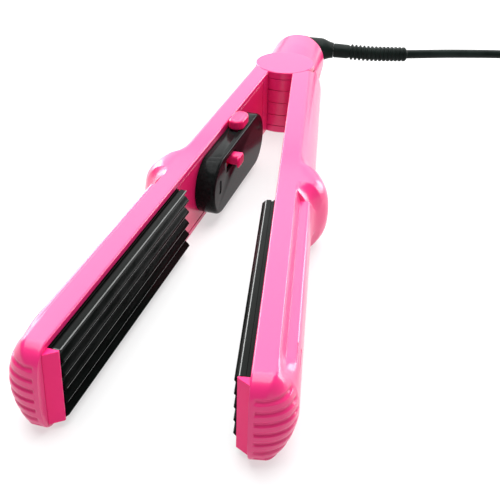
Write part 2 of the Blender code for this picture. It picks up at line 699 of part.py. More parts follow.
def swivel_parts(guard_points, swivel):
    """What turns the cord: the neck that stays in the barrel, and the ball and guard that swing on it."""
    ring = [(8.5, BARREL_END + GAP), (13.6, BARREL_END + GAP), (13.6, 51.6), (13.0, 52.2), (8.5, 52.2)]
    lathe("tail_end_ring", ring, "Y", (0, MID), "black_gloss", steps=32)
    neck = [(0, 43.4), (10.9, 43.4), (10.9, 45.7), (8.1, 45.7), (8.1, 52.5), (9.0, 52.5), (9.0, 56.5),
            (8.4, 59.0), (7.2, 62.4), (0, 62.4)]
    body = lathe("swivel_neck", neck, "Y", (0, MID), "black_rubber", steps=24)
    cup = lathe("cup_cutter", ball_profile(7.35, 9), "Y", (0, MID), steps=20)
    bore = rod("neck_bore_cutter", "Y", (0, MID), 3.0, 40, 66)
    cut(body, cup, bore)
    block("cord_clamp", (-6.5, 28.0, MID - 4.0), (6.5, 38.0, MID - 0.6), "black_gloss")
    block("clamp_bar", (-6.5, 30.0, MID + 3.2), (6.5, 36.0, MID + 5.0), "steel")
    way = [(26.0, 1.3), (33.0, 1.3), (42.0, 0.6), (52.0, 0.0), (61.0, 0.0)]
    tube("inner_cord", [(0, y, MID + up) for y, up in way],
         3.2, "cord_rubber", None, 2)

    ball = lathe("swivel_ball", ball_profile(7.0, 10), "Y", (0, MID), "black_rubber", swivel, 20)
    trumpet = [(0, 0.0), (6.4, 3.0), (6.4, 10.5), (5.6, 13.2), (4.7, 15.6), (4.4, 17.5), (0, 17.5)]
    horn = lathe("swivel_horn", trumpet, "X", (SWIVEL_Y, MID), None, swivel, 20)
    join(ball, horn)
    guard(guard_points, swivel)


def ball_profile(radius, steps):
    """A half circle about the swivel's centre, from one pole to the other."""
    found = []
    for k in range(steps + 1):
        angle = math.pi * k / steps
        reach = radius * math.sin(angle)
        found.append((reach if 0 < k < steps else 0, SWIVEL_Y - radius * math.cos(angle)))
    return found


def ring_about(centre, heading, radius, count):
    """Points of a circle across a heading, with its first point upwards."""
    heading = heading.normalized()
    side = heading.cross(Vector((0, 0, 1))).normalized()
    up = side.cross(heading)
    angles = [2 * math.pi * k / count for k in range(count)]
    return [centre + radius * (math.cos(a) * up + math.sin(a) * side) for a in angles]


def guard(points, parent):
    """The ribbed strain relief: a smooth root, then a run of ribs that thins towards the cord."""
    lengths = [0.0]
    for a, b in zip(points, points[1:]):
        lengths.append(lengths[-1] + (b - a).length)

    def spot(run):
        for k in range(len(points) - 1):
            if run <= lengths[k + 1]:
                weight = (run - lengths[k]) / (lengths[k + 1] - lengths[k])
                return points[k].lerp(points[k + 1], weight), points[k + 1] - points[k]
        return points[-1], points[-1] - points[-2]

    total = lengths[-1]
    smooth = 9.0
    ribs = 14
    pitch = (total - smooth) / ribs
    stages = [(0.0, 4.1), (1.5, 4.05), (smooth - 1.0, 3.95)]
    for k in range(ribs):
        start = smooth + k * pitch
        tall = mix(4.45, 4.05, k / (ribs - 1))
        stages += [(start + 0.05 * pitch, 3.5), (start + 0.4 * pitch, tall), (start + 0.75 * pitch, tall)]
    stages.append((total, 3.1))
    rings = [ring_about(*spot(run), radius, 12) for run, radius in stages]
    loft("strain_relief", rings, "black_rubber", parent)


# ---------------------------------------------------------------- cord and plug


def cord_parts(swivel):
    route = smooth_route(CORD_ROUTE, 3.0)
    guard_points = part_of_route(route, GUARD_START, GUARD_END)
    cord_points = smooth_route(CORD_ROUTE, 11.0)
    length = sum((b - a).length for a, b in zip(cord_points, cord_points[1:]))
    tube("cord", part_of_route(cord_points, GUARD_END + GAP, length), CORD_D, "cord_rubber", swivel, 3)
    width = COIL_COLUMNS * COIL_PITCH / 2 + 0.1
    low, high = COIL_LOW, COIL_LOW + COIL_LAYERS * COIL_PITCH + 0.2
    inner, outer = COIL_TURN_R - width, COIL_TURN_R + width
    section = [
        (inner, low + 2), (inner, high - 2), (inner + 2, high), (outer - 2, high),
        (outer, high - 2), (outer, low + 2), (outer - 2, low), (inner + 2, low),
    ]
    lathe("cord_coil", section, "Z", COIL_CENTRE, "cord_rubber", swivel, 36)
    tube("cord_tail", smooth_route(TAIL_ROUTE, 8.0), CORD_D, "cord_rubber", swivel, 3)
    tie(inner, outer, low, high, swivel)
    plug(swivel)
    return guard_points


def tie(inner, outer, low, high, parent):
    """A flat band round the coil's turns, on the side away from the crimper."""
    thick, half = 0.7, 3.5
    x, y = COIL_CENTRE

    def frame(spare):
        near, far = inner - 0.7 - spare, outer + GAP + spare
        return [(y - far, low - GAP - spare), (y - near, low - GAP - spare),
                (y - near, high + GAP + spare), (y - far, high + GAP + spare)]

    band = prism("cord_tie", frame(thick), x - half, x + half, "X", "black_rubber", parent)
    cut(band, prism("tie_cutter", frame(0.0), x - half - 1, x + half + 1, "X", None, parent))


def plug(parent):
    """A two-pin plug that lies flat beside the coil."""
    heading = Vector((math.cos(PLUG_HEADING), math.sin(PLUG_HEADING), 0))
    start = Vector(TAIL_ROUTE[-1]) + 0.9 * heading
    turn = Matrix.Rotation(PLUG_HEADING, 3, "Z")
    height = start.z

    def at(along, across, up):
        return start + turn @ Vector((along, across, up))

    stages = [(0, 3.2, 3.2), (9, 3.8, 3.6), (12, 6.0, 5.0), (20, 12.4, 6.6), (34, 13.0, 6.7), (37, 12.6, 6.3)]
    rings = []
    for along, half_width, half_height in stages:
        ring = []
        for k in range(16):
            angle = 2 * math.pi * k / 16
            across = half_width * math.copysign(abs(math.cos(angle)) ** 0.6, math.cos(angle))
            up = half_height * math.copysign(abs(math.sin(angle)) ** 0.6, math.sin(angle))
            ring.append(at(along, across, up))
        rings.append(ring)
    assert height > 6.7
    loft("plug_body", rings, "black_gloss", parent)
    for number, across in ((1, -9.5), (2, 9.5)):
        rings = []
        for along, radius in ((37.3, 2.0), (54.5, 2.0), (56.0, 1.0)):
            ring = []
            for k in range(12):
                angle = 2 * math.pi * k / 12
                ring.append(at(along, across + radius * math.cos(angle), radius * math.sin(angle)))
            rings.append(ring)
        loft(f"plug_pin_{number}", rings, "brass", parent)


def main():
    clear_scene()
    left, left_cover = make_arm("left", -1, (16.55, 22.9))
    right, right_cover = make_arm("right", 1, (9.9, 16.25))
    control_parts(left, left_cover)
    catch_parts(right, right_cover)
    tail_half("tail_upper_shell", True)
    tail_half("tail_lower_shell", False)
    hinge_parts()
    swivel = bpy.data.objects.new("swivel_pivot", None)
    bpy.context.scene.collection.objects.link(swivel)
    guard_points = cord_parts(swivel)
    swivel_parts(guard_points, swivel)


main()
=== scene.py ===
"""The looks of the hair crimper: its plastic shells, coated plates and cord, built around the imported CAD
model, which stands in metres with the hinge axis on Z and the arms along -Y. Lengths are written in
millimetres where shapes are worked out, and build() turns them into metres. A point of an arm is (s, t, z):
s along it from the hinge, t outwards from the plane where the closed arms meet, z upwards."""

import json
import math

import bmesh
import bpy
import numpy as np
from mathutils import Matrix, Vector


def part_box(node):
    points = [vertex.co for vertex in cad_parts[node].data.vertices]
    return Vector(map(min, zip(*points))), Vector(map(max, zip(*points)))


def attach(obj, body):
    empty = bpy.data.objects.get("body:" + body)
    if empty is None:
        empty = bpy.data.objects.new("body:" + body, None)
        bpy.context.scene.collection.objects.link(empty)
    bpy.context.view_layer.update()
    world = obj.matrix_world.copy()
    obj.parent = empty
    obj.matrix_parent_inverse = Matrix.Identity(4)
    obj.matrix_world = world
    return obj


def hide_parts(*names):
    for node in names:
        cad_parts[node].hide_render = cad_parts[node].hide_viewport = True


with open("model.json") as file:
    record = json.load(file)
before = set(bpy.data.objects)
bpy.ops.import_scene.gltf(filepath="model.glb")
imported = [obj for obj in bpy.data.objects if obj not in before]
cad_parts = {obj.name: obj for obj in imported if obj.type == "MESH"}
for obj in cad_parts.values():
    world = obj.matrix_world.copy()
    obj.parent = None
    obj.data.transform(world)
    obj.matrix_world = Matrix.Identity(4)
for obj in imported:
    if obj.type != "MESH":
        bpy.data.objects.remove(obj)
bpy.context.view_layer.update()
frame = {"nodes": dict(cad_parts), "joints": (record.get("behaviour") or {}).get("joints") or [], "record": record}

MM = 0.001
GAP = 0.3
joints = {joint["name"]: joint for joint in frame["joints"]}
HALF_OPENING = math.radians(joints["left_hinge"]["range_deg"][1])
ARM_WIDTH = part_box("hinge_cap_top")[1].z / MM
MID = ARM_WIDTH / 2
CAP_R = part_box("hinge_cap_top")[1].x / MM
SWIVEL_Y = joints["cord_swivel"]["pos_m"][1] / MM
BARREL_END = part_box("tail_upper_shell")[1].y / MM

ARM_REACH = 260.3
RIM = 4.5
CREASE = 12.3
BACK = 19.3
WALL = 2.4
THUMB_REST = 6.3
STEP_AT = 138.3
LEDGE_AT, LEDGE_TALL = 14.3, 11.4
KNUCKLE_CLEAR_R = 15.4


# ---------------------------------------------------------------- camera

CAMERA_PLACE = (0.07053, -0.46997, 0.21146)
CAMERA_HEADING = math.radians(10.39)
CAMERA_DOWN = math.radians(31.62)
CAMERA_ROLL = 0.0269
LENS, SENSOR = 69.81, 36.0


def camera():
    """A camera at the photograph's viewing angle."""
    data = bpy.data.cameras.new("camera")
    data.lens = LENS
    data.sensor_width = SENSOR
    data.clip_start = 0.02
    data.clip_end = 50.0
    eye = bpy.data.objects.new("camera", data)
    turn = Matrix.Rotation(CAMERA_HEADING, 3, "Z") @ Matrix.Rotation(math.pi / 2 - CAMERA_DOWN, 3, "X")
    roll = Matrix.Rotation(CAMERA_ROLL, 3, "Z")
    eye.matrix_world = (turn @ roll).to_4x4()
    eye.location = CAMERA_PLACE
    bpy.context.scene.collection.objects.link(eye)
    bpy.context.scene.camera = eye


camera()


# ---------------------------------------------------------------- materials

NOISE_LOW, NOISE_HIGH = 0.3, 0.7


class Look:
    """A Principled material and short ways to add texture nodes to it."""

    def __init__(self, name, colour, roughness, **sockets):
        self.material = bpy.data.materials.new(name)
        self.material.use_nodes = True
        self.material.diffuse_color = (*colour, 1.0)
        self.tree = self.material.node_tree
        self.shader = self.tree.nodes["Principled BSDF"]
        self.colour = colour
        self.shader.inputs["Base Color"].default_value = (*colour, 1.0)
        self.shader.inputs["Roughness"].default_value = roughness
        for socket, value in sockets.items():
            self.shader.inputs[socket.replace("_", " ")].default_value = value
        self.place = self.tree.nodes.new("ShaderNodeTexCoord").outputs["Object"]

    def node(self, kind, inputs=(), **values):
        made = self.tree.nodes.new(kind)
        for key, value in values.items():
            setattr(made, key, value)
        for key, value in dict(inputs).items():
            if isinstance(value, bpy.types.NodeSocket):
                self.tree.links.new(value, made.inputs[key])
            else:
                made.inputs[key].default_value = value
        return made

    def noise(self, scale, detail=3.0, stretch=None):
        place = self.place
        if stretch:
            place = self.node("ShaderNodeMapping", {"Vector": place, "Scale": stretch}).outputs[0]
        inputs = {"Vector": place, "Scale": scale, "Detail": detail}
        return self.node("ShaderNodeTexNoise", inputs).outputs["Fac"]

    def spread(self, source, low, high):
        """A number that runs from low to high over the usual range of a noise."""
        inputs = {"Value": source, "From Min": NOISE_LOW, "From Max": NOISE_HIGH,
                  "To Min": low, "To Max": high}
        return self.node("ShaderNodeMapRange", inputs, interpolation_type="SMOOTHSTEP").outputs["Result"]

    def vary_colour(self, source, other):
        mixed = self.node("ShaderNodeMix", {"Factor": self.spread(source, 0.0, 1.0)}, data_type="RGBA")
        mixed.inputs[6].default_value = (*self.colour, 1.0)
        mixed.inputs[7].default_value = (*other, 1.0)
        self.tree.links.new(mixed.outputs[2], self.shader.inputs["Base Color"])

    def vary_roughness(self, source, low, high):
        self.tree.links.new(self.spread(source, low, high), self.shader.inputs["Roughness"])

    def bump(self, source, height, strength):
        """Adds relief whose depth is in metres."""
        inputs = {"Height": source, "Distance": height, "Strength": strength}
        self.tree.links.new(self.node("ShaderNodeBump", inputs).outputs[0], self.shader.inputs["Normal"])


def plate_crest(name):
    """The ridges' crests and the top's front edge in a lighter grey: a painted highlight along each crest."""
    look = Look(name, (0.09, 0.095, 0.092), 0.25, IOR=1.5, Specular_IOR_Level=0.5)
    look.vary_colour(look.noise(160, 4.0), (0.06, 0.064, 0.062))
    look.vary_roughness(look.noise(200, 3.0), 0.2, 0.26)
    return look.material


def glossy_pink(name, colour, roughness, coat=0.25, shine=0.42):
    """Moulded gloss plastic: faint flow variation and a trace of orange peel. Cycles' denoiser draws lines
    where the roughness crosses 0.274, so it stays above that."""
    look = Look(name, colour, roughness, Coat_Weight=coat, Coat_Roughness=0.08, IOR=1.5,
                Specular_IOR_Level=shine)
    look.vary_colour(look.noise(30, 2.0), tuple(c * 0.98 for c in colour))
    look.vary_roughness(look.noise(40, 2.0), roughness * 0.97, roughness * 1.04)
    look.bump(look.noise(500, 2.0), 0.000001, 0.3)
    return look.material


def glossy_black(name, colour, roughness, coat):
    """Moulded black plastic, with a low index to keep it dark where it is seen edge-on."""
    look = Look(name, colour, roughness, Coat_Weight=coat, Coat_Roughness=0.04, IOR=1.12,
                Specular_IOR_Level=0.5)
    look.vary_colour(look.noise(900, 6.0), tuple(c * 1.8 + 0.002 for c in colour))
    look.vary_roughness(look.noise(120, 4.0), roughness * 0.85, roughness * 1.25)
    look.bump(look.noise(600, 2.0), 0.000003, 0.5)
    return look.material


def plate_coating(name):
    """Black ceramic coating with a fine lengthwise drawing texture and a little wear."""
    look = Look(name, (0.0015, 0.0025, 0.002), 0.2, IOR=1.12, Specular_IOR_Level=0.5)
    drawn = look.noise(50, 4.0, stretch=(20.0, 0.8, 20.0))
    look.vary_colour(look.noise(140, 5.0), (0.003, 0.0045, 0.004))
    look.vary_roughness(drawn, 0.16, 0.27)
    look.bump(drawn, 0.000006, 0.5)
    return look.material


def soft_rubber(name, colour, roughness):
    """Matt rubber with a fine grain."""
    look = Look(name, colour, roughness, IOR=1.16, Specular_IOR_Level=0.5)
    look.vary_colour(look.noise(70, 5.0), tuple(c * 1.9 + 0.002 for c in colour))
    look.vary_roughness(look.noise(300, 4.0), roughness * 0.85, roughness * 1.15)
    look.bump(look.noise(1500, 3.0), 0.00002, 0.5)
    return look.material


def metal(name, colour, roughness):
    """Bare metal with long, faint drawing marks."""
    look = Look(name, colour, roughness, Metallic=1.0)
    look.vary_colour(look.noise(120, 4.0), tuple(c * 0.82 for c in colour))
    look.vary_roughness(look.noise(90, 4.0, stretch=(1.0, 18.0, 1.0)), roughness * 0.7, roughness * 1.5)
    look.bump(look.noise(240, 3.0, stretch=(1.0, 18.0, 1.0)), 0.00002, 0.4)
    return look.material


def dull(name, colour, roughness, grain):
    """A matt material with a grain of so many bumps a metre."""
    look = Look(name, colour, roughness, IOR=1.5)
    look.vary_colour(look.noise(grain / 6, 4.0), tuple(c * 0.78 for c in colour))
    look.vary_roughness(look.noise(grain / 3, 3.0), roughness * 0.85, min(1.0, roughness * 1.15))
    look.bump(look.noise(grain, 3.0), 0.00005, 0.6)
    return look.material


PINK = (0.78, 0.020, 0.180)
# DEEP_PINK is a deeper pink that paints the shade of the arms' inner faces into the inner covers; the knob and
# lock slide use it too.
DEEP_PINK = (0.78, 0.015, 0.145)
FRAME_PINK = (0.92, 0.015, 0.18)
BLACK = (0.004, 0.005, 0.005)
RUBBER = (0.004, 0.007, 0.006)


def make_looks():
    """The materials, named after the CAD's material slots."""
    table = [
        (glossy_pink, "pink_shell", PINK, 0.30),
        (glossy_pink, "pink_control", DEEP_PINK, 0.30, 0.1, 0.3),
        # The inner covers' deeper pink is painted shade.
        (glossy_pink, "pink_cover", DEEP_PINK, 0.30),
        (glossy_pink, "pink_frame", FRAME_PINK, 0.35, 0.0, 0.2),
        (plate_coating, "plate_coating"),
        (plate_crest, "plate_crest"),
        (glossy_black, "black_housing", BLACK, 0.12, 0.0),
        (glossy_black, "end_ring", BLACK, 0.2, 0.1),
        (dull, "black_inner", (0.02, 0.02, 0.02), 0.55, 900),
        (dull, "plug", (0.014, 0.016, 0.016), 0.42, 1100),
        (metal, "pins", (0.78, 0.66, 0.42), 0.2),
        (metal, "steel", (0.62, 0.62, 0.63), 0.28),
        (metal, "spring_steel", (0.55, 0.55, 0.56), 0.3),
        (metal, "fuse", (0.62, 0.62, 0.63), 0.35),
        (soft_rubber, "guard_rubber", RUBBER, 0.34),
        (soft_rubber, "cord_rubber", RUBBER, 0.34),
        (dull, "tie", (0.02, 0.02, 0.02), 0.5, 900),
        (dull, "ceramic", (0.86, 0.85, 0.80), 0.6, 700),
        (dull, "silicone", (0.72, 0.30, 0.20), 0.65, 700),
        (dull, "lead_sleeve", (0.82, 0.80, 0.74), 0.6, 1400),
        (dull, "circuit_board", (0.05, 0.22, 0.10), 0.4, 500),
        (dull, "lamp", (0.85, 0.80, 0.75), 0.3, 800),
        (glossy_black, "lens", (0.002, 0.002, 0.003), 0.2, 0.0),
    ]
    return {name: make(name, *rest) for make, name, *rest in table}


looks = make_looks()


# ---------------------------------------------------------------- mesh tools


def build(name, points, faces, look, body=None, angle=32):
    """A mesh from points in millimetres, cleaned, turned outwards and smooth up to an angle. It rides on a
    body, or is a bare tool for a Boolean if it has none."""
    mesh = bpy.data.meshes.new(name)
    mesh.from_pydata([Vector(p) * MM for p in points], [], faces)
    shape = bmesh.new()
    shape.from_mesh(mesh)
    bmesh.ops.remove_doubles(shape, verts=shape.verts, dist=0.003 * MM)
    bmesh.ops.dissolve_degenerate(shape, edges=shape.edges, dist=0.001 * MM)
    bmesh.ops.recalc_face_normals(shape, faces=shape.faces)
    shape.to_mesh(mesh)
    shape.free()
    piece = bpy.data.objects.new(name, mesh)
    bpy.context.scene.collection.objects.link(piece)
    if look:
        mesh.materials.append(looks[look])
    smooth(piece, angle)
    if body:
        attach(piece, body)
    return piece


def smooth(piece, angle):
    piece.data.shade_smooth()
    piece.data.set_sharp_from_angle(angle=math.radians(angle))


def ring_faces(count, rows, closed):
    """Faces over rows of rings with count points each. The rows close on themselves or end in caps."""
    faces = []
    spans = rows if closed else rows - 1
    for i in range(spans):
        here, there = i * count, (i + 1) % rows * count
        for j in range(count):
            k = (j + 1) % count
            faces.append((here + j, here + k, there + k, there + j))
    if not closed:
        faces.append(tuple(range(count)))
        faces.append(tuple(range((rows - 1) * count, rows * count)))
    return faces


def loft(name, rings, look=None, body=None, angle=32, closed=False):
    """A skin over rings of points, with a cap at each end unless it closes on itself."""
    points = [p for ring in rings for p in ring]
    return build(name, points, ring_faces(len(rings[0]), len(rings), closed), look, body, angle)


def lathe(name, profile, axis, centre, look=None, body=None, steps=96):
    """A profile of (radius, place along the axis) turned about an axis. Its ends close at radius 0, or the
    profile closes on itself."""
    first, second, along = {"X": (1, 2, 0), "Y": (0, 2, 1), "Z": (0, 1, 2)}[axis]
    rings = []
    for turned in turn_angles(steps):
        ring = []
        for radius, level in profile:
            p = [0.0, 0.0, 0.0]
            p[first] = centre[0] + radius * math.cos(turned)
            p[second] = centre[1] + radius * math.sin(turned)
            p[along] = level
            ring.append(p)
        rings.append(ring)
    if profile[0][0] > 0:
        return loft(name, rings, look, body, closed=True)
    count = len(profile)
    faces = []
    for i in range(steps):
        here, there = i * count, (i + 1) % steps * count
        faces += [(here + j, here + j + 1, there + j + 1, there + j) for j in range(count - 1)]
    return build(name, [p for ring in rings for p in ring], faces, look, body)


def prism(name, outline, low, high):
    """A tool with an upright outline of (x, y) points between two levels."""
    return loft(name, [[(x, y, level) for x, y in outline] for level in (low, high)])


def carve(piece, *steps, angle=32):
    """Applies Booleans, given as (operation, tool) pairs, and removes the tools."""
    for operation, tool in steps:
        change = piece.modifiers.new("carve", "BOOLEAN")
        change.operation = operation
        change.object = tool
        change.solver = "EXACT"
    graph = bpy.context.evaluated_depsgraph_get()
    mesh = bpy.data.meshes.new_from_object(piece.evaluated_get(graph))
    piece.modifiers.clear()
    piece.data = mesh
    for _, tool in steps:
        bpy.data.objects.remove(tool)
    shape = bmesh.new()
    shape.from_mesh(mesh)
    bmesh.ops.remove_doubles(shape, verts=shape.verts, dist=0.002 * MM)
    bmesh.ops.dissolve_degenerate(shape, edges=shape.edges, dist=0.002 * MM)
    shape.to_mesh(mesh)
    shape.free()
    smooth(piece, angle)


def soften(piece, width, angle):
    """Rounds a piece's edges sharper than an angle and evens its shading."""
    edge = piece.modifiers.new("rounded_edges", "BEVEL")
    edge.width = width * MM
    edge.segments = 2
    edge.limit_method = "ANGLE"
    edge.angle_limit = math.radians(angle)
    edge.harden_normals = False
    edge.use_clamp_overlap = True
    even(piece)


def even(piece):
    """Weights the shading by face area, so that flat faces look flat."""
    shade = piece.modifiers.new("even_shading", "WEIGHTED_NORMAL")
    shade.keep_sharp = True


def arc(centre, radius, start, end, steps):
    """Points of an arc between two angles in degrees."""
    angles = [math.radians(start + (end - start) * k / steps) for k in range(steps + 1)]
    return [(centre[0] + radius * math.cos(a), centre[1] + radius * math.sin(a)) for a in angles]


def turn_angles(count):
    return [2 * math.pi * k / count for k in range(count)]


def squarish(count, wide, high, power):
    """A ring of points between an ellipse and a rectangle."""
    found = []
    for angle in turn_angles(count):
        x, y = math.cos(angle), math.sin(angle)
        found.append((wide * math.copysign(abs(x) ** power, x), high * math.copysign(abs(y) ** power, y)))
    return found


def mix(a, b, weight):
    return a + (b - a) * weight


def ease(value):
    """A smooth step from 0 to 1 while the value goes from 0 to 1."""
    value = min(1.0, max(0.0, value))
    return value * value * (3 - 2 * value)


def resample(points, count):
    """The same open line with count points, evenly spaced along it."""
    p = np.array(points, float)
    run = np.concatenate([[0.0], np.cumsum(np.linalg.norm(np.diff(p, axis=0), axis=1))])
    marks = np.linspace(0.0, run[-1], count)
    return [tuple(np.interp(marks, run, p[:, i])[k] for i in range(p.shape[1])) for k in range(count)]


def catmull_rom(a, b, c, d, u):
    """The curve's place at u of the way from b to c."""
    return 0.5 * (2 * b + (c - a) * u + (2 * a - 5 * b + 4 * c - d) * u**2 + (3 * b - a - 3 * c + d) * u**3)


def smooth_route(points, step):
    """Points about one step apart on a Catmull-Rom curve through the route's points."""
    route = [Vector(p) for p in points]
    route = [2 * route[0] - route[1], *route, 2 * route[-1] - route[-2]]
    found = []
    for a, b, c, d in zip(route, route[1:], route[2:], route[3:]):
        pieces = max(1, round((c - b).length / step))
        found += [catmull_rom(a, b, c, d, k / pieces) for k in range(pieces)]
    return [*found, route[-2]]


# ---------------------------------------------------------------- cord

CORD_D = 5.0
COIL_CENTRE = (171.8, 102.2)
COIL_TURN_R = 30.2
COIL_LOW = 1.2
COIL_COLUMNS = 5
COIL_PITCH = 5.1
COIL_TURNS = 8.39
COIL_START = math.radians(123.3)
CORD_ROUTE = [
    (12.0, 69.3, 16.4),
    (22.6, 69.4, 16.4),
    (38.0, 70.2, 16.1),
    (55.0, 75.3, 15.4),
    (62.0, 78.9, 14.8),
    (84.0, 92.8, 12.2),
    (107.0, 108.0, 8.8),
    (118.0, 115.2, 7.0),
    (132.0, 124.4, 5.0),
]
TAIL_ROUTE = [
    (204.3, 70.2, 7.4),
    (201.4, 60.0, 5.8),
    (199.1, 50.0, 5.6),
    (197.3, 41.0, 7.0),
]
GUARD_START, GUARD_END = 5.9, 47.5


def coil_point(turn):
    """A point of the coil after so many turns: inwards below, then outwards on top of that."""
    last = COIL_COLUMNS - 1
    column = sum(ease((turn - k - 0.45) / 0.5) for k in range(last))
    column -= sum(ease((turn - last - k - 0.5) / 0.5) for k in range(last))
    layer = ease((turn - last) / 0.45)
    radius = COIL_TURN_R + COIL_PITCH * (last / 2 - column)
    angle = COIL_START - 2 * math.pi * turn
    height = COIL_LOW + 0.1 + COIL_PITCH * (layer + 0.5)
    x, y = COIL_CENTRE
    return Vector((x + radius * math.cos(angle), y + radius * math.sin(angle), height))


def nearest(points, target):
    return min(range(len(points)), key=lambda k: (points[k] - target).length)


def cord_line():
    """The whole centreline, from the strain relief's root to the plug."""
    steps = round(COIL_TURNS * 40)
    coil = [coil_point(COIL_TURNS * k / steps) for k in range(steps + 1)]
    head = smooth_route([*CORD_ROUTE, coil[0], coil[1]], 3.0)
    head = head[: nearest(head, coil[0])]
    tail = smooth_route([coil[-2], coil[-1], *TAIL_ROUTE], 3.0)
    tail = tail[nearest(tail, coil[-1]) + 1 :]
    line = head + coil + tail
    run = 0.0
    for k in range(len(line) - 1):
        run += (line[k + 1] - line[k]).length
        if run > GUARD_START:
            return line[k + 1 :]
    return line


def make_cord():
    """The cord as one round curve. Gives it with its centreline and its length in metres."""
    line = cord_line()
    data = bpy.data.curves.new("mains_cord", "CURVE")
    data.dimensions = "3D"
    data.bevel_depth = CORD_D / 2 * MM
    data.bevel_resolution = 5
    data.use_fill_caps = True
    spline = data.splines.new("POLY")
    spline.points.add(len(line) - 1)
    for knot, p in zip(spline.points, line):
        knot.co = (*(p * MM), 1.0)
    spline.use_smooth = True
    cord = bpy.data.objects.new("mains_cord", data)
    bpy.context.scene.collection.objects.link(cord)
    data.materials.append(looks["cord_rubber"])
    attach(cord, "cord_swivel")
    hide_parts("cord", "cord_coil", "cord_tail")
    length = sum((b - a).length for a, b in zip(line, line[1:])) * MM
    return cord, line, length


cord, line, cord_length = make_cord()


# ---------------------------------------------------------------- the arms' own frame


class Arm:
    """One arm, opened by half the opening angle. side is -1 for the left arm and 1 for the right."""

    def __init__(self, name, side):
        self.name = name
        self.side = side
        self.turn = Matrix.Rotation(side * HALF_OPENING, 3, "Z")

    def at(self, s, t, z):
        return self.turn @ Vector((self.side * t, -s, z))

    @property
    def body(self):
        return f"{self.name}_arm"

    def bar(self, name, outline, t, look=None, body=None):
        """An outline of (s, z) points, carried from one t to the other."""
        return loft(name, [[self.at(s, level, z) for s, z in outline] for level in t], look, body)

    def block(self, name, s, t, z, look=None, body=None):
        outline = [(s[0], z[0]), (s[1], z[0]), (s[1], z[1]), (s[0], z[1])]
        return self.bar(name, outline, t, look, body)

    def turned(self, name, profile, s, z):
        """A tool from a profile of (radius, t) points turned about the line at (s, z) that runs outwards."""
        rings = []
        for radius, t in profile:
            rings.append([self.at(s + radius * math.cos(a), t, z + radius * math.sin(a))
                          for a in turn_angles(40)])
        return loft(name, rings)


left, right = Arm("left", -1), Arm("right", 1)
arms = (left, right)


def round_rod(name, centre, radius, low, high, steps=64):
    """An upright round tool."""
    rings = []
    for z in (low, high):
        rings.append([(*p, z) for p in arc(centre, radius, 0, 360 - 360 / steps, steps - 1)])
    return loft(name, rings)


# ---------------------------------------------------------------- outer shells

CREASE_SOFT = 1.0
RIM_ROUND = 0.85
THUMB_CENTRE, THUMB_BEHIND, THUMB_AHEAD = 124.5, 20.5, 14.0
RISEN_POWER = 2.5
STEP_SWEEP = 0.11
LEDGE_FADE_START, LEDGE_FADE_LENGTH = 234.0, 19.0


def handle_height(t, rise):
    """Half height of the handle's section at t: a flat side, a soft crease and a round back that rises
    into the thumb rest. The plain back is an arc, and the risen one a superellipse."""
    fullness = min(1.0, 1.6 * rise / THUMB_REST)
    soft = 0.96 * (1 - fullness) * max(0.0, t - CREASE + CREASE_SOFT) ** 2 / (4 * CREASE_SOFT)
    if t <= CREASE:
        return MID - soft
    radius = (MID**2 + (BACK - CREASE) ** 2) / (2 * (BACK - CREASE))
    widest = math.asin(MID / radius)
    out = min(1.0, (t - CREASE) / (BACK - CREASE + rise))
    plain = math.sin(math.acos(mix(math.cos(widest), 1.0, out))) / math.sin(widest)
    risen = (1 - out**RISEN_POWER) ** (1 / RISEN_POWER)
    height = MID * mix(plain, risen, fullness)
    return min(height, MID - soft) if t < CREASE + CREASE_SOFT else height


def forearm_height(t, rise):
    """Half height of the section around the plates: a slope down from the flat side to a ledge."""
    if t <= LEDGE_AT:
        down = max(0.0, (t - CREASE + 0.2) / (LEDGE_AT - CREASE + 0.2))
        return mix(MID, LEDGE_TALL, 0.55 * down + 0.45 * ease(down))
    out = min(1.0, (t - LEDGE_AT) / (BACK + rise - LEDGE_AT))
    return LEDGE_TALL * math.sqrt(1 - out**6)


def thumb_rise(s):
    """How far the thumb rest stands out from the back at mid height."""
    offset = (s - THUMB_CENTRE) / (THUMB_BEHIND if s < THUMB_CENTRE else THUMB_AHEAD)
    return THUMB_REST * (0.5 + 0.5 * math.cos(math.pi * min(1.0, abs(offset))))


def across(rise):
    """Places along t, close together where the section turns."""
    found = list(np.linspace(RIM + RIM_ROUND, CREASE - CREASE_SOFT, 10, endpoint=False))
    found += list(np.linspace(CREASE - CREASE_SOFT, LEDGE_AT + 0.2, 26, endpoint=False))
    reach = BACK + rise - LEDGE_AT - 0.2
    return found + [LEDGE_AT + 0.2 + reach * math.sin(math.pi / 2 * k / 52) for k in range(53)]


def arm_half(s):
    """Upper half of the section at s. The handle's form ends at a step that sweeps back as it goes
    outwards, under the thumb rest's wing, and it comes back smoothly at the tip."""
    rise = thumb_rise(s)
    half = []
    for t in across(rise):
        step = STEP_AT - STEP_SWEEP * max(0.0, t - LEDGE_AT) ** 2
        forearm = ease(s - step + 0.5) - ease((s - LEDGE_FADE_START) / LEDGE_FADE_LENGTH)
        half.append((t, MID + mix(handle_height(t, rise), forearm_height(t, rise), forearm)))
    rim = [(RIM, mix(MID, half[0][1] - RIM_ROUND, k / 3)) for k in range(3)]
    corner = (RIM + RIM_ROUND, half[0][1] - RIM_ROUND)
    rim += [(corner[0] - RIM_ROUND * math.cos(a), corner[1] + RIM_ROUND * math.sin(a))
            for a in np.linspace(0, math.pi / 2, 7)[:-1]]
    return rim + half


# Stages of the rounded nose: place, how much shallower than the arm, half height.
NOSE = [
    (249.0, 0.0, 16.4),
    (252.0, 0.6, 16.4),
    (254.0, 1.3, 16.1),
    (256.0, 2.5, 15.1),
    (257.6, 4.1, 13.6),
    (258.8, 6.0, 11.5),
    (259.6, 8.0, 8.9),
    (260.1, 10.4, 5.5),
    (ARM_REACH, 13.0, 2.2),
]


def full_ring(half):
    """A closed ring from its upper half, which starts and ends at mid height."""
    return half + [(t, 2 * MID - z) for t, z in reversed(half[1:-1])]


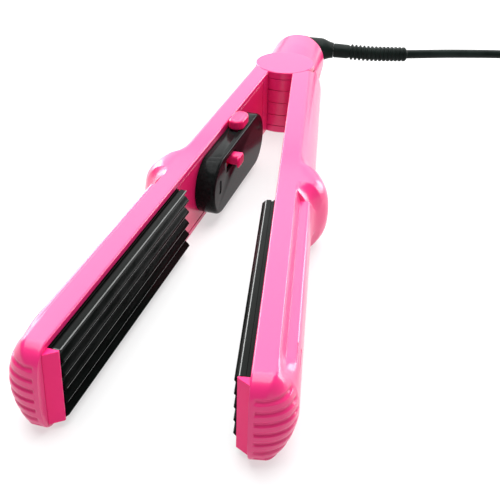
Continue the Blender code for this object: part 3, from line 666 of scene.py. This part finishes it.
def shell_stations():
    """(place, section) pairs from behind the hinge to the tip. A negative place is an angle in degrees
    about the hinge, where the back of the arm wraps round the knuckle."""
    found = [(-angle, arm_half(0.0)) for angle in np.linspace(49.1, 2.5, 18)]
    places = [*np.linspace(0, 100, 9), *np.linspace(102.5, 119.5, 14), *np.linspace(120, 141, 64)]
    places += [*np.linspace(143, 233, 13), *np.linspace(235, 248.6, 24)]
    found += [(s, arm_half(s)) for s in places]
    for s, shallower, tall in resample(smooth_stages(NOSE, 12), 76):
        depth = (BACK - RIM - shallower) / (BACK - RIM)
        half = [(RIM + (t - RIM) * depth, MID + (z - MID) * tall / MID) for t, z in arm_half(s)]
        found.append((s, half))
    return found


def smooth_stages(stages, steps):
    """The same table with more rows, on smooth curves through its own."""
    table = np.array(stages, float)
    padded = np.vstack([2 * table[0] - table[1], table, 2 * table[-1] - table[-2]])
    rows = []
    for k in range(len(table) - 1):
        a, b, c, d = padded[k : k + 4]
        rows += [catmull_rom(a, b, c, d, u) for u in np.linspace(0, 1, steps, endpoint=False)]
    rows.append(table[-1])
    return [tuple(row) for row in rows]


GRIP_PITCH = 3.9
GRIP_DEPTH = 0.6
GRIP_LOWEST = 3.2
GRIP_START, GRIP_SIDE, GRIP_TOP = 249.5, 5.9, 28.0
GRIP_FLOOR, GRIP_FLANK = 0.1, 1.1
NOSE_MIDDLE_S, NOSE_MIDDLE_T = 250.0, 8.0
LEDGE_SLOTS = (17.5, 18.7)
SLOT_SPAN = (230.0, 248.0)
SLOT_DEPTH, SLOT_HALF = 0.45, 0.16
BORE_R = 2.75
SPRING_R, SPRING_LEVELS = 8.2, (11.9, 20.9)


def grip_cut(s, t, z):
    """How deep the nose's grip grooves go at a place: level grooves round the tip that fade out over its
    rim side, its top and the arm's length."""
    along = ease((s - GRIP_START) / 3.0)
    out = ease((t - GRIP_SIDE) / 0.8)
    high = ease(GRIP_TOP - z)
    level = (z - GRIP_LOWEST) / GRIP_PITCH
    phase = abs(level - round(level)) * GRIP_PITCH
    groove = 1 - ease((phase - GRIP_FLOOR) / GRIP_FLANK)
    return GRIP_DEPTH * along * out * high * groove


def ledge_slots(arm):
    """Two fine slots along the ledge near the tip, on the top and the underside."""
    cuts = []
    for t in LEDGE_SLOTS:
        across_slot = (t - SLOT_HALF, t + SLOT_HALF)
        floor = forearm_height(t, 0.0) - SLOT_DEPTH
        for levels in ((MID + floor, MID + 20), (MID - 20, MID - floor)):
            cuts.append(("DIFFERENCE", arm.block("slot", SLOT_SPAN, across_slot, levels)))
    return cuts


def press_grooves(grid):
    """Moves the grid's points inwards where the grip grooves run."""
    along_ring = np.roll(grid, -1, 1) - np.roll(grid, 1, 1)
    normal = np.cross(np.gradient(grid, axis=0), along_ring)
    normal = normal / np.maximum(np.linalg.norm(normal, axis=2, keepdims=True), 1e-9)
    for i, j in np.ndindex(grid.shape[:2]):
        s = grid[i, j, 0]
        depth = grip_cut(*grid[i, j]) if s > GRIP_START else 0.0
        if depth > 0:
            middle = np.array([min(s, NOSE_MIDDLE_S), NOSE_MIDDLE_T, MID])
            outwards = math.copysign(1.0, np.dot(normal[i, j], grid[i, j] - middle))
            grid[i, j] -= depth * outwards * normal[i, j]


def arm_cavity(arm):
    """The hollow inside the arm, narrower towards the tip."""
    inside = [
        (-2.0, WALL),
        (CREASE - 0.3, WALL),
        (BACK - 2.3, 9.0),
        (BACK - 2.3, ARM_WIDTH - 9.0),
        (CREASE - 0.3, ARM_WIDTH - WALL),
        (-2.0, ARM_WIDTH - WALL),
    ]
    depths = [(23.0, 1.0, 1.0), (249.0, 1.0, 1.0), (253.5, 0.85, 1.0), (256.4, 0.74, 0.992)]
    rings = []
    for s, depth, tall in depths:
        rings.append([arm.at(s, -2.0 + (t + 2.0) * depth, MID + (z - MID) * tall) for t, z in inside])
    return loft("cavity", rings)


def hinge_lug(arm, levels):
    """The arm's own layer of the knuckle, between two levels."""
    outline = arc((0, 0), CAP_R, 70, 350, 80)
    outline += [(17.0, -2.6), (17.0, 21.0), (CAP_R * math.cos(math.radians(70)), 21.0)]
    return loft("lug", [[arm.at(s, t, z) for t, s in outline] for z in levels])


def outer_shell(arm, lug_levels):
    """The arm's pink shell, hollow and open towards the other arm, with its layer of the hinge."""
    places = []
    for where, half in shell_stations():
        ring = full_ring(half)
        if where < 0:
            turn = math.radians(-where)
            places.append([(-t * math.sin(turn), t * math.cos(turn), z) for t, z in ring])
        else:
            places.append([(where, t, z) for t, z in ring])
    grid = np.array(places)
    press_grooves(grid)
    rings = [[arm.at(*p) for p in ring] for ring in grid]
    shell = loft(f"{arm.name}_shell", rings, "pink_shell", arm.body, 30)
    cavity = arm_cavity(arm)
    clearance = round_rod("clearance", (0, 0), KNUCKLE_CLEAR_R, -1, ARM_WIDTH + 1, 120)
    lug = hinge_lug(arm, lug_levels)
    bore = round_rod("bore", (0, 0), BORE_R, -1, ARM_WIDTH + 1)
    spring_pocket = round_rod("pocket", (0, 0), SPRING_R, *SPRING_LEVELS)
    carve(shell, ("DIFFERENCE", clearance), ("DIFFERENCE", cavity), ("UNION", lug),
          ("DIFFERENCE", bore), ("DIFFERENCE", spring_pocket), *ledge_slots(arm), angle=30)
    even(shell)
    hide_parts(f"{arm.name}_outer_shell")


outer_shell(left, (16.55, 22.9))
outer_shell(right, (9.9, 16.25))


# ---------------------------------------------------------------- crimping plates

PLATE_START, PLATE_END = 142.3, 251.8
PLATE_LOW, PLATE_HIGH = 2.95, 29.95
PLATE_BACK = 6.0
RIDGE_PITCH = 5.2
RIDGE_SHIFT = 1.3
RIDGE_TIP, RIDGE_ROOT = -0.6, 1.6
RIDGE_SOFT = 0.55


def ridge(arm, z):
    """t of the crimping face at height z: straight flanks with rounded crests and roots."""
    phase = (z - (MID + arm.side * RIDGE_SHIFT)) / RIDGE_PITCH
    away = abs(phase - round(phase)) * 2
    wave = math.sin(math.pi * (away - 0.5))
    straight = 2 * away - 1
    return mix(RIDGE_TIP, RIDGE_ROOT, 0.5 + 0.5 * mix(straight, wave, RIDGE_SOFT))


def crimp_plate(arm):
    """A plate with level ridges whose crests, and the top's front edge, carry a lighter material as a painted
    highlight.
    """
    heights = np.linspace(PLATE_LOW + 0.35, PLATE_HIGH - 0.35, 190)
    face = [(max(ridge(arm, z), RIDGE_TIP), z) for z in heights]

    def ring(s, inset):
        front = [(t + inset, z) for t, z in face]
        top = [
            (front[-1][0] + 0.12, PLATE_HIGH - 0.25 - inset), (front[-1][0] + 0.45, PLATE_HIGH - inset),
            (2.9, PLATE_HIGH - inset), (3.0, PLATE_HIGH - 0.5 - inset), (3.7, PLATE_HIGH - 0.5 - inset),
            (3.8, PLATE_HIGH - inset), (PLATE_BACK, PLATE_HIGH - inset),
        ]
        bottom = [(t, PLATE_LOW + PLATE_HIGH - z) for t, z in reversed(top)]
        bottom[-2:] = [(front[0][0] + 0.4, PLATE_LOW + inset), (front[0][0] + 0.12, PLATE_LOW + 0.1 + inset)]
        return [arm.at(s, t, z) for t, z in front + top + bottom]

    ends = [(PLATE_START, 0.45), (PLATE_START + 0.12, 0.2), (PLATE_START + 0.4, 0.0)]
    ends += [(PLATE_END - 0.4, 0.0), (PLATE_END - 0.12, 0.2), (PLATE_END, 0.45)]
    plate = loft(f"{arm.name}_plate", [ring(*e) for e in ends], "plate_coating", arm.body, 40)
    plate.data.materials.append(looks["plate_crest"])
    start = Vector(arm.at(0, 0, 0))
    outward = (Vector(arm.at(0, 1, 0)) - start).normalized()
    # Faces on the crests and along the top's front edge get the lighter crest material: a painted highlight.
    for face in plate.data.polygons:
        t, z = (face.center / MM - start).dot(outward), face.center.z / MM
        if t < RIDGE_TIP + 0.06 or (t < 2.0 and PLATE_HIGH - 0.2 < z < PLATE_HIGH - 0.05):
            face.material_index = 1
    even(plate)
    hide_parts(f"{arm.name}_crimp_plate")


for arm in arms:
    crimp_plate(arm)


# ---------------------------------------------------------------- controls

HOUSING_NEAR, HOUSING_FAR = 109.5, 62.8
HOUSING_Z, HOUSING_R = 16.8, 12.8
HOUSING_BACK, HOUSING_FRONT, HOUSING_WALL = 4.3, -4.0, 1.6
BOSS_PLACES = ((58.0, 16.8), (106.0, 8.4))
WINDOW_S, WINDOW_Z, WINDOW_TALL, WINDOW_WIDE = 114.0, 17.8, 6.0, 2.6
KNOB_S, KNOB_T, KNOB_LONG, KNOB_WIDE = 75.5, 0.5, 13.0, 7.0
KNOB_SHOULDER, KNOB_ROUND = 32.9, 1.1
PEG_S, PEG_Z, PEG_HALF_LONG, PEG_HALF_TALL = 96.75, 23.8, 2.75, 2.5


def stadium(inset):
    """The pod's outline as (s, z) points, smaller by an inset."""
    radius = HOUSING_R - inset
    near = arc((HOUSING_NEAR, HOUSING_Z), radius, -90, 90, 36)
    far = arc((HOUSING_FAR, HOUSING_Z), radius, 90, 270, 36)
    return near + far


def control_housing():
    """The black control pod: a stadium with a rounded front edge, slots for its two slides and a window."""
    edge = 1.5
    layers = [(HOUSING_BACK, 0.0)]
    for k in range(9):
        angle = math.pi / 2 * k / 8
        layers.append((HOUSING_FRONT + edge * (1 - math.sin(angle)), edge * (1 - math.cos(angle))))
    rings = [[left.at(s, t, z) for s, z in stadium(inset)] for t, inset in layers]
    housing = loft("control_pod", rings, "black_housing", left.body)
    steps = [("DIFFERENCE", left.bar("hollow", stadium(HOUSING_WALL), (HOUSING_FRONT + HOUSING_WALL, 5.3)))]
    for s, z in BOSS_PLACES:
        boss = left.turned("boss", [(2.4, HOUSING_FRONT + 1.0), (2.4, HOUSING_BACK)], s, z)
        drill = left.turned("drill", [(1.25, -0.9), (1.25, 5.3)], s, z)
        steps += [("UNION", boss), ("DIFFERENCE", drill)]
    steps += [
        ("DIFFERENCE", left.block("knob_slot", (72.6, 83.0), (-1.3, 2.3), (25, 32))),
        ("DIFFERENCE", left.block("lock_slot", (93.4, 106.2), (-5, -1.5), (20.7, 26.9))),
    ]
    carve(housing, *steps)
    soften(housing, 0.25, 40)
    carve(housing, ("DIFFERENCE", left.bar("window", window_outline(0.15), (-5.0, -1.5))), angle=40)
    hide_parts("control_housing")


def rounded_bar(length, width):
    """A bar with round ends, about its middle."""
    radius = width / 2
    straight = length / 2 - radius
    return arc((straight, 0), radius, -90, 90, 14) + arc((-straight, 0), radius, 90, 270, 14)


def window_outline(spare):
    """The upright indicator window as (s, z) points, larger by a spare width."""
    bar = rounded_bar(WINDOW_TALL + 2 * spare, WINDOW_WIDE + 2 * spare)
    return [(WINDOW_S + along, WINDOW_Z + up) for up, along in bar]


def power_knob():
    """A rounded oval with a shallow dished top."""
    layers = [(29.9, 0.3), (30.1, 0.08), (30.4, 0.0), (KNOB_SHOULDER, 0.0)]
    layers += [(KNOB_SHOULDER + KNOB_ROUND * math.sin(a), KNOB_ROUND * (1 - math.cos(a)))
               for a in np.linspace(0.2, math.pi / 2, 8)]
    layers += [(33.96, 1.5), (33.8, 2.0), (33.7, 2.6)]
    rings = []
    for z, inset in layers:
        bar = rounded_bar(KNOB_LONG - 2 * inset, KNOB_WIDE - 2 * inset)
        rings.append([left.at(KNOB_S + s, KNOB_T + t, z) for s, t in bar])
    knob = loft("knob", rings, "pink_control", "power_knob", 40)
    stem = left.block("stem", (KNOB_S - 2.2, KNOB_S + 2.2), (-1.0, 2.0), (24.4, 31))
    carve(knob, ("UNION", stem), angle=40)
    even(knob)
    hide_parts("power_knob")


def lock_slider():
    """The plate lock: a rounded peg on a slide plate, with a head that reaches behind the catch."""
    base = left.block("lock", (91, 107), (-1.9, -0.7), (20.4, 27.2), "pink_control", "lock_slider")
    stages = [(-1.0, 0.0, 1.0), (-6.6, 0.0, 1.0), (-7.0, 1.4, 1.0), (-7.3, 2.4, 1.0), (-7.6, 2.6, 0.98)]
    stages += [(-7.85, 2.5, 0.93), (-8.05, 2.2, 0.83), (-8.2, 1.7, 0.66)]
    rings = []
    for t, reach, scale in stages:
        outline = [(s + (reach if s > 0 else 0.0), z)
                   for s, z in squarish(48, PEG_HALF_LONG, PEG_HALF_TALL, 0.6)]
        rings.append([left.at(PEG_S + s * scale, t, PEG_Z + z * scale) for s, z in outline])
    carve(base, ("UNION", loft("peg", rings)), angle=50)
    even(base)
    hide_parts("lock_slider")


def indicator():
    """A dark upright window, slightly domed, almost flush with the pod's front."""
    layers = [(-1.9, 0.0), (-3.5, 0.0), (-3.62, 0.12), (-3.7, 0.4), (-3.75, 0.8)]
    rings = [[left.at(s, t, z) for s, z in window_outline(-inset)] for t, inset in layers]
    lens = loft("lens", rings, "lens", left.body, 40)
    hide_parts("indicator_lens")


control_housing()
power_knob()
lock_slider()
indicator()


# ---------------------------------------------------------------- hinge and tail


def hinge_caps():
    """The round covers over and under the knuckle, each with a rounded rim."""
    edge = 0.7
    top = [(0, 31.5), (6.4, 31.5), (6.4, 29.2), (CAP_R, 29.2), (CAP_R, ARM_WIDTH - edge)]
    top += arc((CAP_R - edge, ARM_WIDTH - edge), edge, 15, 90, 5)
    top += [(10.0, ARM_WIDTH), (5.0, ARM_WIDTH), (0, ARM_WIDTH)]
    cap = lathe("top_cap", top, "Z", (0, 0), "pink_shell", "tail", 144)
    even(cap)
    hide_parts("hinge_cap_top")
    low = [(radius, ARM_WIDTH - z) for radius, z in top]
    cap = lathe("bottom_cap", low, "Z", (0, 0), "pink_shell", "tail", 144)
    even(cap)
    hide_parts("hinge_cap_bottom")


BARREL_R = 14.6


def tail_half(name, upper):
    """Half of the tail barrel, with the cheek that reaches in between the arms to the hinge."""
    split = MID + (GAP / 2 if upper else -GAP / 2)
    edge = 1.1
    profile = [(0, 10), (15.0, 10), (15.0, 30)]
    profile += [(mix(15.0, BARREL_R, ease(k / 5) * 0.5 + k / 10), mix(30, BARREL_END - edge, k / 5))
                for k in range(1, 5)]
    profile += arc_to_end(edge)
    profile += [(0, BARREL_END)]
    shell = lathe(f"tail_{name}", profile, "Y", (0, MID), "pink_shell", "tail", 144)
    rim = (-20, 20, -20, BARREL_END + 5)
    cutter = box_tool(rim, (MID - 20, split) if upper else (split, MID + 20))
    steps = [("DIFFERENCE", cutter)]
    for side in (-1, 1):
        wedge = [(side * x, y) for x, y in [(0.0, 0.0), *arc((0, 0), 19.75, -20, 56.5, 40)]]
        steps.append(("DIFFERENCE", prism("wedge", wedge, -2, ARM_WIDTH + 2)))
    steps.append(("DIFFERENCE", round_rod("knuckle", (0, 0), KNUCKLE_CLEAR_R, -2, ARM_WIDTH + 2, 120)))
    hollow = [(0, 23), (11.5, 23), (11.5, 46), (8.4, 46), (8.4, BARREL_END + 2), (0, BARREL_END + 2)]
    steps.append(("DIFFERENCE", lathe("hollow", hollow, "Y", (0, MID), steps=72)))
    levels = (23.2, 28.9) if upper else (3.9, 9.6)
    cheek = arc((0, 0), CAP_R, 120, 420, 90) + [(6.2, 20.5), (-6.2, 20.5)]
    steps.append(("UNION", prism("cheek", cheek, *levels)))
    steps.append(("DIFFERENCE", round_rod("bolt", (0, 0), 2.9, -2, ARM_WIDTH + 2)))
    carve(shell, *steps)
    even(shell)
    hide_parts(f"tail_{name}_shell")


def arc_to_end(edge):
    """The rounded end of the barrel's outline."""
    return [(BARREL_R - edge + edge * math.cos(a), BARREL_END - edge + edge * math.sin(a))
            for a in np.linspace(0, math.pi / 2, 7)]


def box_tool(xy, z):
    """A box between x0, x1, y0, y1 and two levels."""
    x0, x1, y0, y1 = xy
    return prism("half", [(x0, y0), (x1, y0), (x1, y1), (x0, y1)], *z)


hinge_caps()
tail_half("upper", True)
tail_half("lower", False)


# ---------------------------------------------------------------- swivel


def end_ring():
    """The glossy ring that closes the barrel."""
    profile = [(8.5, BARREL_END + GAP), (13.6, BARREL_END + GAP), (13.6, 51.4), (13.45, 51.8), (13.1, 52.08),
               (12.6, 52.2), (9.2, 52.2), (8.8, 52.05), (8.5, 51.7)]
    ring = lathe("end_ring", profile, "Y", (0, MID), "end_ring", "tail", 120)
    even(ring)
    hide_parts("tail_end_ring")


def swivel_neck():
    """The rubber socket that holds the swivel's ball."""
    profile = [(0, 43.4), (10.9, 43.4), (10.9, 45.7), (8.1, 45.7), (8.1, 52.5), (8.7, 52.55), (9.0, 52.9),
               (9.0, 56.0), (8.95, 56.9), (8.75, 57.9), (8.4, 59.0), (7.9, 60.6), (7.4, 61.9), (7.2, 62.4),
               (0, 62.4)]
    neck = lathe("neck", profile, "Y", (0, MID), "guard_rubber", "tail", 96)
    cup = lathe("cup", ball_profile(7.35), "Y", (0, MID), steps=64)
    bore = lathe("bore", [(0, 40), (3.0, 40), (3.0, 66), (0, 66)], "Y", (0, MID), steps=32)
    carve(neck, ("DIFFERENCE", cup), ("DIFFERENCE", bore))
    even(neck)
    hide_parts("swivel_neck")


def ball_profile(radius):
    """A half circle about the swivel's centre, from pole to pole."""
    steps, found = 24, []
    for k in range(steps + 1):
        angle = math.pi * k / steps
        reach = radius * math.sin(angle) if 0 < k < steps else 0
        found.append((reach, SWIVEL_Y - radius * math.cos(angle)))
    return found


def swivel_ball():
    """The ball with the horn that leads the cord out of it."""
    ball = lathe("ball_joint", ball_profile(7.0), "Y", (0, MID), "guard_rubber", "cord_swivel", 80)
    trumpet = [(0, 0.0), (6.3, 2.9), (6.42, 3.4), (6.42, 10.2), (6.3, 11.2), (6.0, 12.2), (5.6, 13.2),
               (5.1, 14.4), (4.7, 15.6), (4.5, 16.6), (4.4, 17.5), (0, 17.5)]
    horn = lathe("horn", trumpet, "X", (SWIVEL_Y, MID), steps=80)
    carve(ball, ("UNION", horn))
    even(ball)
    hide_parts("swivel_ball")


def ring_about(centre, heading, radius, count):
    """A ring of points about a centre, square to a heading."""
    heading = heading.normalized()
    side = heading.cross(Vector((0, 0, 1))).normalized()
    up = side.cross(heading)
    return [centre + radius * (math.cos(a) * up + math.sin(a) * side) for a in turn_angles(count)]


def guard():
    """The ribbed strain relief: a smooth root, then ribs that thin towards the cord."""
    route = smooth_route(CORD_ROUTE, 0.5)
    marks = np.concatenate([[0.0], np.cumsum([(b - a).length for a, b in zip(route, route[1:])])])

    def spot(run):
        k = min(len(route) - 2, max(0, int(np.searchsorted(marks, run)) - 1))
        weight = (run - marks[k]) / (marks[k + 1] - marks[k])
        return route[k].lerp(route[k + 1], weight), route[k + 1] - route[k]

    ribs, plain = 14, 9.0
    pitch = (GUARD_END - GUARD_START - plain) / ribs
    stages = [(0.0, 3.9), (0.4, 4.1), (1.5, 4.05), (plain - 1.4, 3.95), (plain - 0.7, 3.9)]
    for k in range(ribs):
        tall = mix(4.45, 4.05, k / (ribs - 1))
        rib = [(0.02, 3.45), (0.14, 3.42), (0.26, 3.55), (0.34, tall - 0.18), (0.42, tall - 0.03),
               (0.52, tall), (0.66, tall), (0.76, tall - 0.03), (0.84, tall - 0.18), (0.92, 3.6)]
        stages += [(plain + (k + place) * pitch, radius) for place, radius in rib]
    stages += [(GUARD_END - GUARD_START - 0.3, 3.4), (GUARD_END - GUARD_START, 3.1)]
    rings = [ring_about(*spot(GUARD_START + run), radius, 40) for run, radius in stages]
    piece = loft("cord_guard", rings, "guard_rubber", "cord_swivel", 50)
    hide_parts("strain_relief")
    return piece


end_ring()
swivel_neck()
swivel_ball()
cord_guard = guard()


# ---------------------------------------------------------------- plug and tie


def cable_tie():
    """A flat ribbed band round the coil's turns."""
    width = COIL_COLUMNS * COIL_PITCH / 2 + 0.1
    low, high = COIL_LOW, COIL_LOW + 2 * COIL_PITCH + 0.2
    thick, half, corner = 0.7, 3.5, 2.2
    x, y = COIL_CENTRE
    near, far = y - (COIL_TURN_R - width) + 0.7, y - (COIL_TURN_R + width) - GAP
    bottom, top = low - GAP, high + GAP

    def loop(out):
        points = []
        for cy, cz, start in ((near - corner, top - corner, 0), (far + corner, top - corner, 90),
                              (far + corner, bottom + corner, 180), (near - corner, bottom + corner, 270)):
            points += arc((cy, cz), corner + out, start, start + 90, 8)
        return points

    ribs = 9
    places = [(-half, 0.45)]
    for k in range(ribs):
        start = -half + 0.15 + k * (2 * half - 0.3) / ribs
        wide = (2 * half - 0.3) / ribs
        places += [(start, 0.62), (start + wide * 0.3, thick), (start + wide * 0.7, thick)]
    places += [(half, 0.45)]
    outer = [[(x + p, *q) for q in loop(out)] for p, out in places]
    inner = [[(x + p, *q) for q in loop(0.0)] for p in (half, -half)]
    band = loft("coil_tie", outer + inner, "tie", "cord_swivel", 40, closed=True)
    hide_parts("cord_tie")
    return band


PLUG_HEADING = math.radians(-101.0)
PIN_APART = 19.0


def plug_frame():
    """Turns (along, across, up) on the plug into a point."""
    heading = Vector((math.cos(PLUG_HEADING), math.sin(PLUG_HEADING), 0))
    start = Vector(TAIL_ROUTE[-1]) + 0.9 * heading
    turn = Matrix.Rotation(PLUG_HEADING, 3, "Z")
    return lambda along, across, up: start + turn @ Vector((along, across, up))


def plug():
    """A moulded two-pin plug with a waist, finger ribs and round pins."""
    at = plug_frame()
    stages = [(0, 2.9, 2.9), (0.5, 3.2, 3.2), (2.0, 3.25, 3.2), (2.3, 2.9, 2.9), (3.1, 2.9, 2.9),
              (3.4, 3.4, 3.3), (5.0, 3.45, 3.35), (5.3, 3.05, 3.0), (6.1, 3.05, 3.0), (6.4, 3.6, 3.5),
              (9.0, 3.8, 3.6)]
    for k in range(1, 17):
        u = k / 16
        stages.append((9.0 + 11.5 * u, mix(3.8, 12.4, ease(u)), mix(3.6, 6.55, ease(u))))
    stages += [(22.0, 12.55, 6.6), (22.4, 12.2, 6.3), (23.4, 12.2, 6.3), (23.8, 12.65, 6.62),
               (25.4, 12.7, 6.64), (25.8, 12.35, 6.32), (26.8, 12.35, 6.32), (27.2, 12.8, 6.66),
               (34.0, 13.0, 6.7), (36.0, 12.9, 6.62), (36.7, 12.6, 6.35), (37.0, 12.1, 5.9)]
    rings = [[at(along, *p) for p in squarish(64, wide, high, 0.62)] for along, wide, high in stages]
    body = loft("plug_moulding", rings, "plug", "cord_swivel", 50)
    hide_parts("plug_body")
    pieces = [body]
    profile = [(36.9, 2.0), (45.0, 2.0), (45.3, 1.94), (53.6, 1.94), (54.6, 1.85), (55.3, 1.55),
               (55.8, 1.05), (56.0, 0.5)]
    for number, across in ((1, -PIN_APART / 2), (2, PIN_APART / 2)):
        rings = []
        for along, radius in profile:
            rings.append([at(along, across + radius * math.cos(a), radius * math.sin(a))
                          for a in turn_angles(32)])
        pin = loft(f"pin_{number}", rings, "pins", "cord_swivel")
        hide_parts(f"plug_pin_{number}")
        pieces.append(pin)
    return pieces


plug_pieces = plug()
tie_band = cable_tie()


# ---------------------------------------------------------------- CAD nodes that stay


WELD_WITHIN = 0.000002


def finish_nodes():
    """Gives the CAD nodes that show their own materials, rounded edges and even shading."""
    slots = {row["node"]: row["material_slot"] for row in frame["record"]["subparts"]}
    for name, node in frame["nodes"].items():
        if name in ("left_outer_shell", "right_outer_shell"):
            continue
        node.data.materials.clear()
        node.data.materials.append(looks.get(slots[name], looks["lens"]))
        node.data.shade_smooth()
        node.modifiers.new("joined", "WELD").merge_threshold = WELD_WITHIN
        soften(node, 0.22, 35)


finish_nodes()


# ---------------------------------------------------------------- floor and lights


FLOOR_HALF = 6.0
# Name, place, target, size and power of each light.
LIGHTS = [
    ("overhead", (0.0, 0.0, 1.1), (0.0, -0.1, 0.0), (1.2, 1.2), 25.0),
    ("behind_high", (0.0, 0.75, 0.85), (0.0, -0.2, 0.03), (1.6, 0.7), 10.0),
    ("behind_low", (0.0, 1.1, 0.36), (0.0, -0.1, 0.05), (1.8, 0.44), 4.0),
    ("left_side", (-1.1, 0.9, 0.25), (-0.1, -0.15, 0.03), (1.0, 0.5), 9.0),
    ("left_high", (-0.85, 0.6, 0.55), (-0.08, -0.2, 0.03), (0.6, 0.5), 4.5),
    ("right_side", (0.85, 0.75, 0.2), (0.03, -0.15, 0.03), (0.8, 0.4), 8.0),
]


def studio():
    """A pale floor, a white room and broad soft lights from above, from behind and from both sides."""
    mesh = bpy.data.meshes.new("floor")
    corners = [(x * FLOOR_HALF, y * FLOOR_HALF, 0) for x, y in ((-1, -1), (1, -1), (1, 1), (-1, 1))]
    mesh.from_pydata(corners, [], [(0, 1, 2, 3)])
    floor = bpy.data.objects.new("floor", mesh)
    bpy.context.scene.collection.objects.link(floor)
    glow = {"Emission_Color": (1.0, 1.0, 1.0, 1.0), "Emission_Strength": 0.6}
    pale = Look("floor", (0.28, 0.28, 0.28), 0.7, **glow)
    pale.vary_roughness(pale.noise(3.0), 0.55, 0.65)
    mesh.materials.append(pale.material)

    world = bpy.data.worlds.new("room")
    world.use_nodes = True
    world.node_tree.nodes["Background"].inputs[0].default_value = (1.0, 1.0, 1.0, 1.0)
    world.node_tree.nodes["Background"].inputs[1].default_value = 0.25
    bpy.context.scene.world = world
    bpy.context.scene.view_settings.view_transform = "Standard"

    for row in LIGHTS:
        area_light(*row)


def area_light(name, place, target, size, power):
    """A rectangular light that faces a target."""
    data = bpy.data.lights.new(name, "AREA")
    data.shape = "RECTANGLE"
    data.size, data.size_y = size
    data.energy = power
    light = bpy.data.objects.new(name, data)
    light.location = place
    heading = Vector(target) - Vector(place)
    light.rotation_euler = heading.to_track_quat("-Z", "Y").to_euler()
    bpy.context.scene.collection.objects.link(light)


studio()
